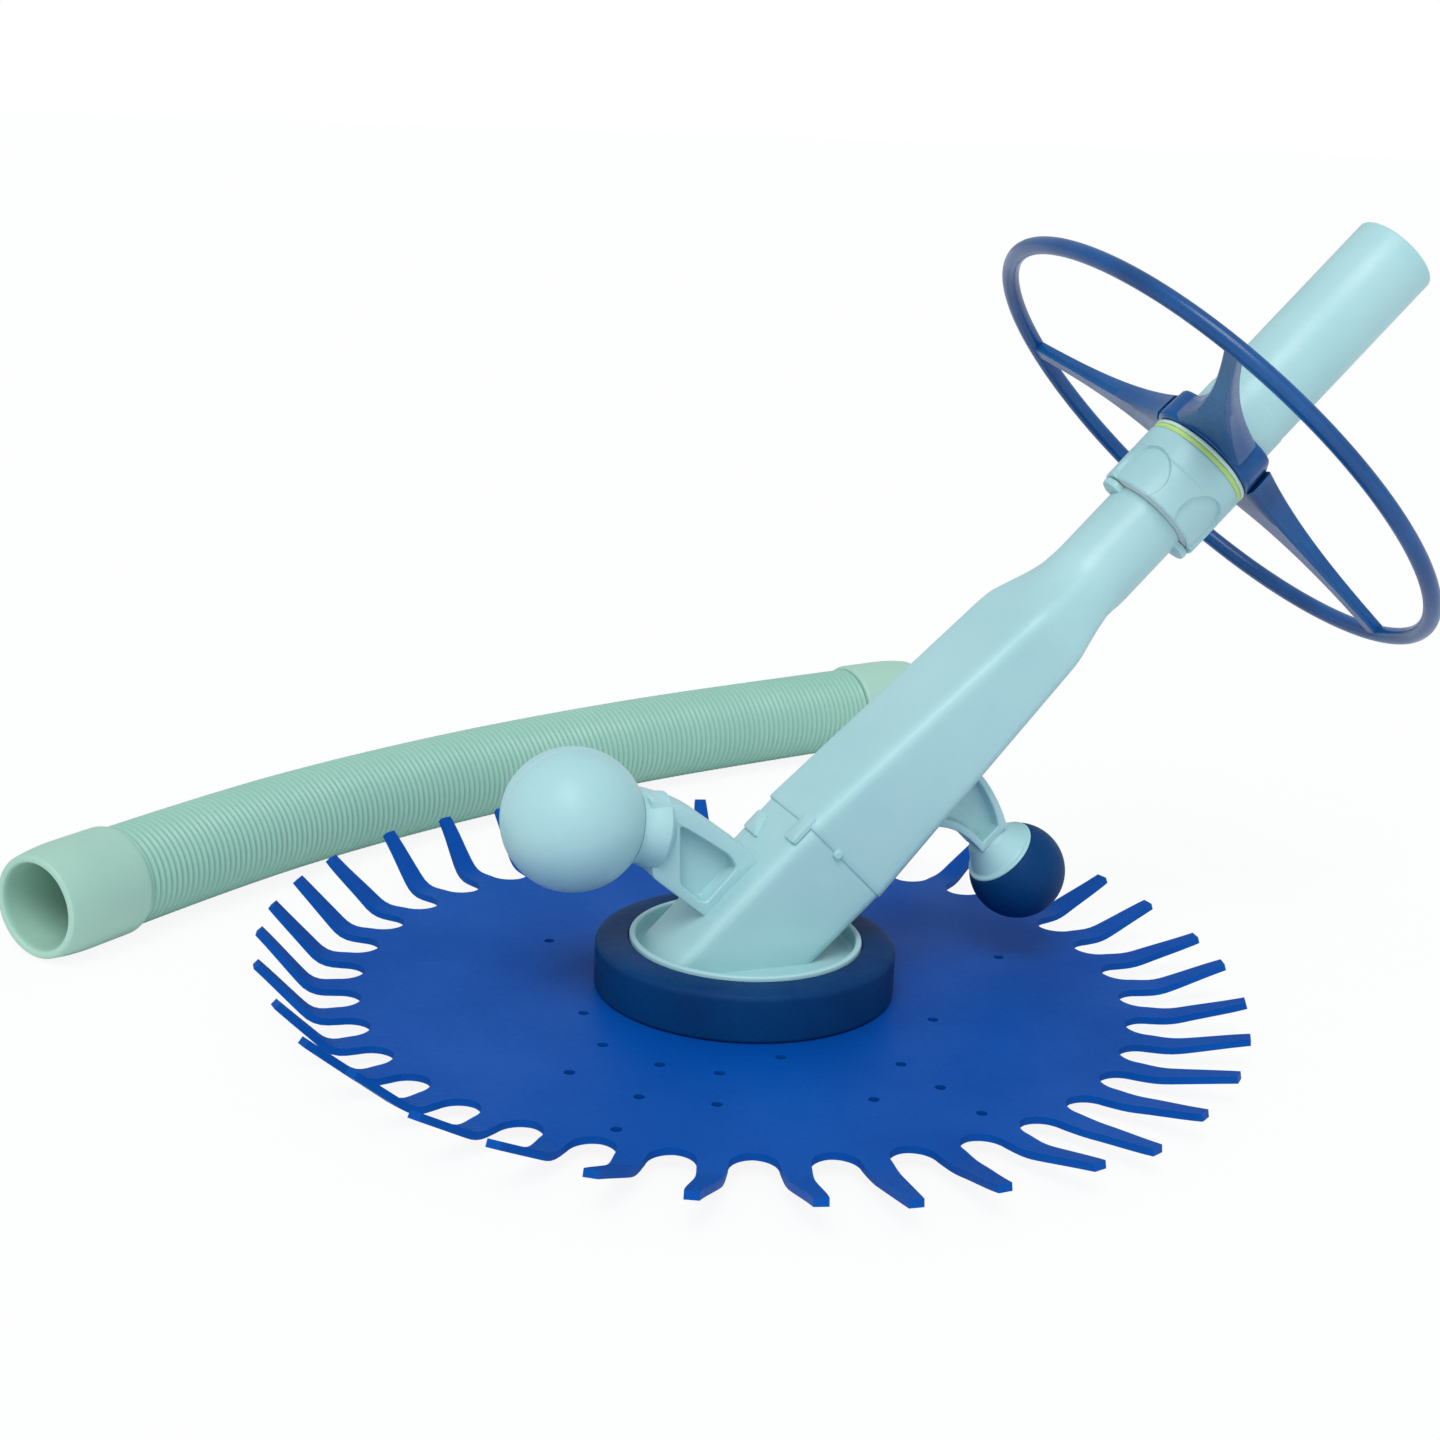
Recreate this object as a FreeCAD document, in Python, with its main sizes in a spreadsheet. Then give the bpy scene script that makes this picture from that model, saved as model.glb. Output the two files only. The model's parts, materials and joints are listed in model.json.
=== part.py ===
import FreeCAD, Part
import math
import os
import re
import Sketcher
from FreeCAD import Placement, Rotation, Vector

# Suction pool cleaner: an inclined hollow body on a round foot, with a spinning
# finned disc, a swivelling hose pipe, a bumper wheel, a float and a weight.
# Millimetres. The origin is the foot's centre on the floor, +Z up, and the body
# leans towards +X. "Along" values are measured on the leaning axis from the point
# where it crosses the foot's own axis.

DRIVERS = {
    # foot and disc
    "mouthRadius": 16.0, "spigotWall": 7.5, "shoeRadius": 64.0, "shoeHeight": 5.7,
    "hubRadius": 50.0, "hubGap": 0.4, "runGap": 0.3, "discThick": 3.0,
    "padRadius": 62.0, "padTop": 26.0, "padRound": 4.0, "dishRadius": 48.0,
    "dishFloor": 3.5, "dishWall": 2.6, "dishDeep": 9.0, "seatGap": 0.2,
    "footScrewCircle": 38.0, "footScrewRadius": 2.0, "footScrewHead": 3.6,
    "footHeadTall": 2.4, "shoeLip": 2.0,
    "grooveCount": 12.0, "grooveWide": 7.0, "grooveDeep": 2.5, "grooveLand": 8.0,
    "finCount": 36.0, "notchCentre": 171.0, "notchRadius": 9.3, "bendRadius": 179.0,
    "tipRadius": 205.5, "tipGap": 31.3, "finRise": 35.0, "drainRadius": 1.6,
    # leaning body
    "lean": 45.0, "axisHeight": 29.0, "wall": 3.0, "cornerRound": 6.0,
    "lowWidth": 41.4, "lowTop": 26.6, "lowUnder": 20.5, "lowEnd": 50.0,
    "tongue": 16.0, "lapScrewSide": 10.5, "lapScrewRadius": 1.4,
    "lapHeadRadius": 2.5, "lapHeadTall": 1.4, "driveRadius": 0.98, "lapStep": 1.6,
    "startWidth": 47.0, "startTop": 27.6,
    "startUnder": 20.8, "boxEnd": 178.0, "endWidth": 49.6, "endTop": 18.4,
    "endUnder": 12.0, "taperEnd": 209.0, "neckRadius": 17.4, "neckWall": 2.4,
    "earsAlong": 241.0, "earsThick": 4.0, "earsReach": 23.4, "earsWide": 13.0,
    "earsTurn": 158.0, "spigotRadius": 15.9, "spigotEnd": 262.0,
    # flapper
    "flapAlong": 36.0, "flapOff": 3.0, "flapPinRadius": 2.0, "flapClear": 0.05,
    "flapHub": 6.0, "flapWide": 28.0, "flapTop": 46.0, "flapTip": 10.0,
    "flapFoot": 22.0, "seatAlong": 88.0, "seatThick": 10.0,
    "tubeRadius": 7.0, "tubeWall": 1.4, "tubeOff": 5.0, "tubeEnd": 300.0,
    "clipAlong": 224.0, "clipThick": 5.0,
    # swivel, pipe and wheel
    "pipeRadius": 19.0, "pipeWall": 2.9, "pipeStart": 249.0, "pipeEnd": 399.0,
    "stemRadius": 19.3, "stopAlong": 306.0,
    "collarRadius": 20.5, "collarThick": 3.3, "nutLow": 22.4,
    "nutHigh": 24.0, "nutTop": 273.6, "nutShoulder": 256.0, "archRadius": 12.5,
    "archAlong": 252.0, "archCount": 4.0, "archTurn": 20.0, "bandThick": 2.3, "capThick": 1.7,
    "hubOuter": 27.0, "wheelHub": 15.0, "wheelRing": 115.0, "wheelTube": 3.6,
    "spokeCount": 3.0, "spokeRoot": 34.0, "spokeTip": 7.0, "spokeDeep": 9.0,
    "spokeTurn": -10.0, "clipRing": 2.6, "clipThickness": 2.0,
    # float
    "floatRadius": 29.0, "floatWall": 2.2, "floatBack": 76.0, "floatUp": 87.0,
    "collarLow": 12.5, "collarHigh": 15.5, "armWide": 19.0, "armWeb": 3.0,
    # weight
    "bootRadius": 20.5, "bootOff": 74.2, "bootWall": 2.5, "cupRoot": 50.0,
    "cupHigh": 9.0, "plugLong": 4.0, "leadGap": 0.3, "bootOpen": 12.2, "weightAlong": 102.0,
    "weightArmWide": 16.0, "boltRadius": 2.5,
    # loose hose section
    "hoseRadius": 22.8, "hoseWall": 1.8, "cuffRadius": 24.4, "cuffBore": 19.0,
    "cuffLong": 45.0, "cuffRound": 3.0,
}
# Places of the drain holes in the disc: distance from the centre, and direction.
DRAINS = [
    (74, 189), (87, 210), (115, 214), (90, 228), (120, 230), (149, 231), (90, 243),
    (118, 244), (74, 260), (118, 273), (82, 318), (96, 288), (120, 287), (145, 286),
    (93, 133), (119, 0),
]
# Centre line of the loose hose section, which lies on the floor beside the foot.
HOSE_ROUTE = [
    (-237.0, 148.3), (-180.0, 192.0), (-110.0, 234.0), (-30.0, 272.0), (56.0, 303.0),
    (130.0, 323.0), (194.2, 338.5),
]

# Float arm: outline and sunk panel, in X and Z from the float's centre, and at the
# body as depth under its top face and distance along the leaning axis.
FLOAT_ARM_BALL = [(29, 10), (46, 3.5), (47, -37), (31, -24)]
FLOAT_ARM_BODY = [(-5.9, 26.9), (11.8, 26.2), (10.3, -3.5)]
FLOAT_PANEL_BALL = [(42, -3), (43, -28)]
FLOAT_PANEL_BODY = [(-10.5, 20.1), (-3.6, 18.4), (-4.0, -2.1)]
FLOAT_COLLAR = (34, -7)
# Long enough to pass below the floor from anywhere on the leaning axis.
BELOW_FLOOR = -60.0
REACH_OUT = 300.0
# Where the neck's circle is split, in degrees, to face a rounded rectangle's corners.
SPLIT_LOW, SPLIT_HIGH = 25, 65

doc = FreeCAD.newDocument("PoolCleaner")
sheet = doc.addObject("Spreadsheet::Sheet", "Sizes")
for row, (alias, number) in enumerate(DRIVERS.items(), start=1):
    sheet.set(f"A{row}", alias)
    sheet.set(f"B{row}", str(number))
    sheet.setAlias(f"B{row}", alias)
doc.recompute()
pieces = []


def bound(text):
    """Names of sheet values become references to the sheet."""
    def swap(match):
        return f"Sizes.{match.group(0)}" if match.group(0) in DRIVERS else match.group(0)
    return re.sub(r"[A-Za-z]\w*", swap, str(text))


def size(text):
    """The number that an expression of sheet values gives."""
    result = sheet.evalExpression(bound(text))
    return float(getattr(result, "Value", result))


def bind(thing, **values):
    for name, text in values.items():
        thing.setExpression(name, bound(text))
    return thing


def leaning(along="0", off="0"):
    """The leaning axis's frame: +Z up the axis, +X towards the underside."""
    turn = Rotation(Vector(0, 1, 0), 90 - size("lean"))
    base = Vector(0, 0, size("axisHeight"))
    return Placement(base + turn * Vector(size(off), 0, size(along)), turn)


def lean_over(thing):
    """Stands a piece made upright at the origin onto the leaning axis."""
    thing.Placement = leaning()
    thing.setExpression("Placement.Base.z", bound("axisHeight"))
    thing.setExpression("Placement.Rotation.Angle", bound("90 - lean"))
    return thing


def keep(thing, label):
    """Counts a finished object as one of the pieces, under its own label."""
    thing.Label = label
    pieces.append(thing)
    return thing


# Part primitives -----------------------------------------------------------

def place(thing, at):
    for axis, text in zip("xyz", at):
        if str(text) != "0":
            thing.setExpression(f"Placement.Base.{axis}", bound(text))
    return thing


def rod(name, radius, height, at=("0", "0", "0"), turn=None):
    thing = doc.addObject("Part::Cylinder", name)
    bind(thing, Radius=radius, Height=height)
    if turn:
        thing.Placement = Placement(Vector(), turn)
    return place(thing, at)


def joined(name, things):
    thing = doc.addObject("Part::MultiFuse", name)
    thing.Shapes = things
    return thing


def cut(name, base, tools):
    thing = doc.addObject("Part::Cut", name)
    thing.Base = base
    thing.Tool = tools[0] if len(tools) == 1 else joined(name + "Tools", tools)
    return thing


def ring(name, outer, inner, height, low="0"):
    """A plain washer whose underside is at low."""
    body = rod(name + "Body", outer, height, ("0", "0", low))
    hole = rod(name + "Hole", inner, height, ("0", "0", low))
    return cut(name, body, [hole])


# PartDesign ----------------------------------------------------------------

def new_body(name):
    return doc.addObject("PartDesign::Body", name)


def origin_plane(body, role):
    return next(f for f in body.Origin.OriginFeatures if f.Role == role)


def sketch_on(body, name, role, offset=None):
    sketch = body.newObject("Sketcher::SketchObject", name)
    sketch.AttachmentSupport = [(origin_plane(body, role), "")]
    sketch.MapMode = "FlatFace"
    if offset:
        sketch.setExpression("AttachmentOffset.Base.z", bound(offset))
    return sketch


def pin_point(sketch, line, end, at):
    for kind, axis, text in (("DistanceX", -2, at[0]), ("DistanceY", -1, at[1])):
        if str(text) == "0":
            sketch.addConstraint(Sketcher.Constraint("PointOnObject", line, end, axis))
            continue
        number = size(text)
        index = sketch.addConstraint(Sketcher.Constraint(kind, -1, 1, line, end, number))
        sketch.setExpression(f"Constraints[{index}]", bound(text))


def outline(sketch, corners):
    """A closed outline of straight lines, every corner bound to the sheet."""
    spots = [Vector(size(x), size(y), 0) for x, y in corners]
    count = len(corners)
    first = sketch.GeometryCount
    for i in range(count):
        sketch.addGeometry(Part.LineSegment(spots[i], spots[(i + 1) % count]), False)
    for i in range(count):
        following = first + (i + 1) % count
        sketch.addConstraint(Sketcher.Constraint("Coincident", first + i, 2, following, 1))
    for i in range(count):
        pin_point(sketch, first + i, 1, corners[i])
    return sketch


def circle(sketch, radius, at=("0", "0")):
    index = sketch.addGeometry(
        Part.Circle(Vector(size(at[0]), size(at[1]), 0), Vector(0, 0, 1), size(radius)), False)
    pin_point(sketch, index, 3, at)
    label = sketch.addConstraint(Sketcher.Constraint("Radius", index, size(radius)))
    sketch.setExpression(f"Constraints[{label}]", bound(radius))
    return sketch


def turned(body, name, corners):
    """A solid of revolution about the body's Z axis, from its half section."""
    sketch = outline(sketch_on(body, name + "Section", "XZ_Plane"), corners)
    feature = body.newObject("PartDesign::Revolution", name)
    feature.Profile = (sketch, [""])
    feature.ReferenceAxis = (sketch, ["V_Axis"])
    feature.Angle = 360
    return feature


def polar(body, name, feature, count):
    pattern = body.newObject("PartDesign::PolarPattern", name)
    pattern.Originals = [feature]
    pattern.Axis = (next(f for f in body.Origin.OriginFeatures if f.Role == "Z_Axis"), [""])
    pattern.Angle = 360
    bind(pattern, Occurrences=count)
    body.Tip = pattern
    return pattern


def pocket(body, name, sketch, through=True, depth=None, reverse=False):
    feature = body.newObject("PartDesign::Pocket", name)
    feature.Profile = (sketch, [""])
    if through:
        feature.Type = "ThroughAll"
        feature.Midplane = True
    else:
        bind(feature, Length=depth)
        feature.Reversed = reverse
    return feature


def rounded(body, name, base, radius, chooses):
    """Rounds the edges that the test picks, found on the recomputed shape."""
    doc.recompute()
    edges = [f"Edge{i + 1}" for i, edge in enumerate(base.Shape.Edges) if chooses(edge)]
    feature = body.newObject("PartDesign::Fillet", name)
    feature.Base = (base, edges)
    bind(feature, Radius=radius)
    return feature


def rim_at(radius, height):
    """Picks whole circular edges of that radius at that height."""
    def chooses(edge):
        curve = edge.Curve
        if not isinstance(curve, Part.Circle):
            return False
        near = abs(curve.Radius - size(radius)) < 0.01
        return near and abs(curve.Center.z - size(height)) < 0.01
    return chooses


# Hand-made sections of the leaning body --------------------------------------

def box_wire(half, top, under, corner, along):
    """A rounded rectangle across the leaning axis: 4 sides and 4 corner arcs."""
    low, high, reach = -top + corner, under - corner, half - corner
    slant = corner * math.sqrt(0.5)
    centres = [(high, reach), (low, reach), (low, -reach), (high, -reach)]
    edges = []
    for i, (cx, cy) in enumerate(centres):
        out = Rotation(Vector(0, 0, 1), 90 * i)
        start = out * Vector(corner, 0, 0)
        middle = out * Vector(slant, slant, 0)
        finish = out * Vector(0, corner, 0)
        centre = Vector(cx, cy, along)
        edges.append(Part.Arc(centre + start, centre + middle, centre + finish).toShape())
        following = centres[(i + 1) % 4]
        ahead = Vector(following[0], following[1], along) + finish
        edges.append(Part.LineSegment(centre + finish, ahead).toShape())
    return Part.Wire(edges)


def round_wire(radius, along):
    """A circle in 8 arcs that stand opposite a rounded rectangle's 8 edges."""
    marks = []
    for i in range(4):
        marks += [90 * i + SPLIT_LOW, 90 * i + SPLIT_HIGH]
    edges = []
    for i, mark in enumerate(marks):
        ahead = marks[(i + 1) % 8] + (360 if i == 7 else 0)
        points = []
        for angle in (mark, (mark + ahead) / 2, ahead):
            turn = math.radians(angle)
            points.append(Vector(radius * math.cos(turn), radius * math.sin(turn), along))
        edges.append(Part.Arc(*points).toShape())
    return Part.Wire(edges)


def body_wire(along, inset=0.0):
    """The body's section at a distance along the axis, inset by a wall."""
    if along < size("lowEnd"):
        half, top, under = size("lowWidth") / 2, size("lowTop"), size("lowUnder")
    else:
        share = (along - size("lowEnd")) / size("boxEnd - lowEnd")
        half = (size("startWidth") + share * size("endWidth - startWidth")) / 2
        top = size("startTop") + share * size("endTop - startTop")
        under = size("startUnder") + share * size("endUnder - startUnder")
    corner = size("cornerRound") - min(inset, size("cornerRound") - 1.0)
    return box_wire(half - inset, top - inset, under - inset, corner, along)


def lofted(*wires):
    return Part.makeLoft(list(wires), True, True)


def feature(label, shape, placement=None):
    thing = doc.addObject("Part::Feature", label)
    thing.Shape = shape.removeSplitter()
    if placement:
        thing.Placement = placement
    return keep(thing, label)


def cylinder(radius, height, base=Vector(), axis=Vector(0, 0, 1)):
    return Part.makeCylinder(radius, height, base, axis)


# Foot ----------------------------------------------------------------------

def make_shoe():
    """Wear ring under the disc, with short water grooves in its sole."""
    body = new_body("FootShoe")
    turned(body, "ShoeRing", [
        ("mouthRadius + spigotWall / 2", "0"), ("shoeRadius", "0"),
        ("shoeRadius", "shoeHeight"), ("mouthRadius + spigotWall / 2", "shoeHeight")])
    slot = outline(sketch_on(body, "GrooveOutline", "XY_Plane"), [
        ("mouthRadius + spigotWall + grooveLand", "-grooveWide / 2"),
        ("shoeRadius + grooveWide", "-grooveWide / 2"),
        ("shoeRadius + grooveWide", "grooveWide / 2"),
        ("mouthRadius + spigotWall + grooveLand", "grooveWide / 2")])
    groove = pocket(body, "Groove", slot, through=False, depth="grooveDeep", reverse=True)
    polar(body, "Grooves", groove, "grooveCount")
    holes = sketch_on(body, "ScrewSeats", "XY_Plane")
    corner = ("footScrewCircle * cos(45)", "footScrewCircle * sin(45)")
    circle(holes, "footScrewHead + seatGap", corner)
    seat = pocket(body, "ScrewSeat", holes, False, "shoeHeight - shoeLip", True)
    polar(body, "ScrewSeatRing", seat, "4")
    shanks = sketch_on(body, "ScrewShanks", "XY_Plane")
    circle(shanks, "footScrewRadius + seatGap", corner)
    hole = pocket(body, "ScrewHole", shanks)
    polar(body, "ScrewHoleRing", hole, "4")
    return keep(body, "foot_shoe")


def make_pad():
    """Rubber collar between the disc and the body's dish."""
    body = new_body("FootPad")
    bore = "mouthRadius + spigotWall + seatGap"
    floor = "padTop - dishDeep"
    top = "shoeHeight + discThick + 2 * runGap"
    ring_body = turned(body, "PadRing", [
        (bore, "shoeHeight"), ("hubRadius", "shoeHeight"), ("hubRadius", top),
        ("padRadius", top), ("padRadius", "padTop"), ("dishRadius + seatGap", "padTop"),
        ("dishRadius + seatGap", floor), (bore, floor)])
    soft = rounded(body, "PadRound", ring_body, "padRound", rim_at("padRadius", "padTop"))
    holes = sketch_on(body, "PadHoles", "XY_Plane")
    corner = ("footScrewCircle * cos(45)", "footScrewCircle * sin(45)")
    circle(holes, "footScrewRadius + seatGap", corner)
    hole = pocket(body, "PadHole", holes)
    polar(body, "PadHoleRing", hole, "4")
    return keep(body, "foot_pad")


def make_disc():
    """Flexible disc with upturned fins round its edge."""
    low = "shoeHeight + runGap"
    body = new_body("Disc")
    rise = "(tipRadius - bendRadius) * tan(finRise)"
    turned(body, "DiscSheet", [
        ("hubRadius + hubGap", low), ("bendRadius", low), ("tipRadius", low + " + " + rise),
        ("tipRadius", low + " + discThick + " + rise), ("bendRadius", low + " + discThick"),
        ("hubRadius + hubGap", low + " + discThick")])
    notch = sketch_on(body, "NotchOutline", "XY_Plane")
    draw_notch(notch)
    gap = pocket(body, "Notch", notch)
    polar(body, "Notches", gap, "finCount")
    holes = sketch_on(body, "DrainPlaces", "XY_Plane")
    for radius, angle in DRAINS:
        circle(holes, "drainRadius", (f"{radius} * cos({angle})", f"{radius} * sin({angle})"))
    pocket(body, "Drains", holes)
    return keep(body, "disc")


def draw_notch(sketch):
    """A round-bottomed notch that opens outwards between two fins."""
    far = size("tipRadius + 2 * discThick")
    centre, radius, half = size("notchCentre"), size("notchRadius"), size("tipGap / 2")
    inner = Vector(centre - radius, 0, 0)
    upper, lower = Vector(centre, radius, 0), Vector(centre, -radius, 0)
    sketch.addGeometry(Part.Arc(upper, inner, lower), False)
    sketch.addGeometry(Part.LineSegment(lower, Vector(far, -half, 0)), False)
    sketch.addGeometry(Part.LineSegment(Vector(far, -half, 0), Vector(far, half, 0)), False)
    sketch.addGeometry(Part.LineSegment(Vector(far, half, 0), upper), False)
    pin_point(sketch, 1, 1, ("notchCentre", "-notchRadius"))
    pin_point(sketch, 2, 1, ("tipRadius + 2 * discThick", "-tipGap / 2"))
    pin_point(sketch, 3, 1, ("tipRadius + 2 * discThick", "tipGap / 2"))
    pin_point(sketch, 3, 2, ("notchCentre", "notchRadius"))
    for line, end in ((1, 2), (2, 2)):
        sketch.addConstraint(Sketcher.Constraint("Coincident", line, end, line + 1, 1))
    ends = [(sketch.getPoint(0, end), end) for end in (1, 2)]
    for spot, end in ends:
        mate = (1, 1) if spot.y < 0 else (3, 2)
        sketch.addConstraint(Sketcher.Constraint("Coincident", 0, end, mate[0], mate[1]))


def make_foot_screws():
    """Four pan-head screws that clamp the shoe and pad up to the dish."""
    screws = []
    for i in range(4):
        turn = 45 + 90 * i
        spot = (f"footScrewCircle * cos({turn})", f"footScrewCircle * sin({turn})")
        head = rod(f"FootHead{i}", "footScrewHead", "footHeadTall",
                   (spot[0], spot[1], "shoeHeight - shoeLip - footHeadTall"))
        shank = rod(f"FootShank{i}", "footScrewRadius",
                    "padTop - dishDeep + dishFloor / 2 - shoeHeight + shoeLip",
                    (spot[0], spot[1], "shoeHeight - shoeLip"))
        screws.append(joined(f"FootScrew{i}", [head, shank]))
    group = doc.addObject("Part::Compound", "FootScrews")
    group.Links = screws
    return keep(group, "foot_screws")


# Body ----------------------------------------------------------------------

def make_lower_body():
    """Dish, throat and the lower half of the leaning chamber, one moulding."""
    wall, floor = size("wall"), size("padTop - dishDeep")
    rim, web = size("padTop + 1"), size("dishFloor")
    dish = cylinder(size("dishRadius"), rim - floor, Vector(0, 0, floor))
    dish = dish.cut(cylinder(size("dishRadius - dishWall"), rim, Vector(0, 0, floor + web)))
    throat = cylinder(size("mouthRadius + spigotWall"), floor - size("shoeHeight"),
                      Vector(0, 0, size("shoeHeight")))
    frame = leaning()
    below, top = BELOW_FLOOR, size("lowEnd")
    chamber = lofted(low_wire(below), low_wire(top))
    inset = size("lapStep") + size("wall")
    lap = size("lapStep")
    tongue = lofted(low_wire(below, lap), low_wire(top + size("tongue"), lap))
    hollow = lofted(low_wire(below, inset), low_wire(top + size("tongue") + 1, inset))
    chamber = chamber.transformGeometry(frame.toMatrix())
    tongue = tongue.transformGeometry(frame.toMatrix())
    hollow = hollow.transformGeometry(frame.toMatrix())
    above = half_space(floor + web / 2, 2 * REACH_OUT)
    beside = half_space(0, rim).cut(cylinder(size("dishRadius"), rim))
    solid = dish.fuse(throat).fuse(chamber.fuse(tongue).common(above).cut(beside))
    inside = half_space(floor + web, 2 * REACH_OUT)
    solid = solid.cut(hollow.common(inside))
    solid = solid.cut(cylinder(size("mouthRadius"), rim, Vector()))
    pin = flapper_pin_shape(size("flapPinRadius"), size("lowWidth") + 2)
    solid = solid.cut(pin)
    for spot in foot_screw_spots():
        seat = spot + Vector(0, 0, floor)
        solid = solid.cut(cylinder(size("footScrewRadius"), web / 2, seat))
    for hole in lap_screw_holes():
        solid = solid.cut(hole)
    return solid


def half_space(low, high):
    """A block wider than the whole cleaner, from a height up."""
    return Part.makeBox(2 * REACH_OUT, 2 * REACH_OUT, high, Vector(-REACH_OUT, -REACH_OUT, low))


def foot_screw_spots():
    reach = size("footScrewCircle")
    return [Vector(reach * math.cos(t), reach * math.sin(t), 0)
            for t in (math.radians(45 + 90 * i) for i in range(4))]


def low_wire(along, inset=0.0):
    half, top, under = size("lowWidth") / 2, size("lowTop"), size("lowUnder")
    corner = size("cornerRound") - min(inset, size("cornerRound") - 1.0)
    return box_wire(half - inset, top - inset, under - inset, corner, along)


def flapper_pin_shape(radius, length):
    frame = leaning("flapAlong", "-flapOff")
    base = frame.Base - Vector(0, length / 2, 0)
    return cylinder(radius, length, base, Vector(0, 1, 0))


def lap_screw_spots():
    """Where the two halves of the body are screwed together through the lap."""
    along = size("lowEnd + tongue * 0.6")
    reach = size("lapScrewSide")
    return [(side, y, along) for side in (-1, 1) for y in (-reach, reach)]


def lap_face(side):
    """Outer face of the lower body's tongue above (-1) or under (1) the axis."""
    return -size("lowTop - lapStep") if side < 0 else size("lowUnder - lapStep")


def lap_screw_holes():
    frame = leaning()
    holes = []
    for side, y, along in lap_screw_spots():
        base = Vector(lap_face(side), y, along)
        hole = cylinder(size("lapScrewRadius"), size("wall"), base, Vector(-side, 0, 0))
        holes.append(hole.transformGeometry(frame.toMatrix()))
    return holes


def make_lap_screws():
    """Screws of the lap, heads sunk in the upper body's wall."""
    screws = []
    tall = size("lapHeadTall")
    for side, y, along in lap_screw_spots():
        face, out = lap_face(side), Vector(side, 0, 0)
        base = Vector(face, y, along)
        shank = cylinder(size("lapScrewRadius"), size("wall"), base, -out)
        head = cylinder(size("lapHeadRadius"), tall, base, out)
        drive = cylinder(size("driveRadius"), tall, base + out * (tall / 2), out)
        screws.append(head.fuse(shank).cut(drive))
    return Part.makeCompound(screws)


def upper_shells():
    """Outer and inner surfaces of the upper body as solids."""
    start, box, neck = size("lowEnd"), size("boxEnd"), size("taperEnd")
    top = size("earsAlong + earsThick")
    wall, bore = size("wall"), size("neckRadius - neckWall")
    outer = lofted(body_wire(start), body_wire(box))
    outer = outer.fuse(lofted(body_wire(box), round_wire(size("neckRadius"), neck)))
    outer = outer.fuse(cylinder(size("neckRadius"), top - neck, Vector(0, 0, neck)))
    inner = lofted(body_wire(start, wall), body_wire(box, wall))
    inner = inner.fuse(lofted(body_wire(box, wall), round_wire(bore, neck)))
    inner = inner.fuse(cylinder(bore, top - neck - wall, Vector(0, 0, neck)))
    return outer, inner


def make_upper_body():
    """Long flat-sided chamber, round neck, two ears and the swivel's spigot."""
    outer, inner = upper_shells()
    ears = cylinder(size("earsReach"), size("earsThick"), Vector(0, 0, size("earsAlong")))
    strip = Part.makeBox(4 * size("earsReach"), size("earsWide"), size("earsThick"),
                         Vector(-2 * size("earsReach"), -size("earsWide") / 2, size("earsAlong")))
    strip.rotate(Vector(), Vector(0, 0, 1), size("earsTurn"))
    spigot = cylinder(size("spigotRadius"), size("spigotEnd - earsAlong"), Vector(0, 0, size("earsAlong")))
    solid = outer.fuse(ears.common(strip)).fuse(spigot).cut(inner)
    solid = solid.cut(cylinder(size("spigotRadius - neckWall"), size("spigotEnd - taperEnd"),
                               Vector(0, 0, size("taperEnd"))))
    loose = size("lapStep - seatGap / 2")
    lap = lofted(low_wire(size("lowEnd"), loose), low_wire(size("lowEnd + tongue + seatGap"), loose))
    solid = solid.cut(lap)
    sunk = size("lapHeadRadius + seatGap")
    for side, y, along in lap_screw_spots():
        base = Vector(lap_face(side) - side * size("wall / 2"), y, along)
        solid = solid.cut(cylinder(sunk, size("3 * wall"), base, Vector(side, 0, 0)))
    return solid


def make_seat():
    """Valve plate across the chamber: one port to the inner tube, one round it."""
    low, thick = size("seatAlong"), size("seatThick")
    inset = size("wall + seatGap / 2")
    plate = lofted(body_wire(low, inset), body_wire(low + thick, inset))
    plate = plate.cut(cylinder(size("tubeRadius"), thick, Vector(-size("tubeOff"), 0, low)))
    port = Part.makeBox(size("endUnder - 2 * wall"), size("flapWide"), thick,
                        Vector(size("tubeRadius - tubeOff + 1"), -size("flapWide") / 2, low))
    return plate.cut(port)


def make_inner_tube():
    """Inner suction tube from the valve plate up into the swivelling pipe."""
    long = size("tubeEnd - seatAlong")
    base = Vector(-size("tubeOff"), 0, size("seatAlong"))
    tube = cylinder(size("tubeRadius"), long, base)
    return tube.cut(cylinder(size("tubeRadius - tubeWall"), long, base))


def make_tube_clip():
    """Ring in the neck that steadies the inner tube and lets water past."""
    low, thick = size("clipAlong"), size("clipThick")
    clip = cylinder(size("neckRadius - neckWall"), thick, Vector(0, 0, low))
    clip = clip.cut(cylinder(size("tubeRadius"), thick, Vector(-size("tubeOff"), 0, low)))
    pass_radius = size("(neckRadius - neckWall - tubeRadius + tubeOff) / 2 - 1.8")
    for turn in (-42, 0, 42):
        reach = size("neckRadius - neckWall - 1.4") - pass_radius
        spot = Rotation(Vector(0, 0, 1), turn) * Vector(reach, 0, low)
        clip = clip.cut(cylinder(pass_radius, thick, spot))
    return clip


# Flapper -------------------------------------------------------------------

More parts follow.
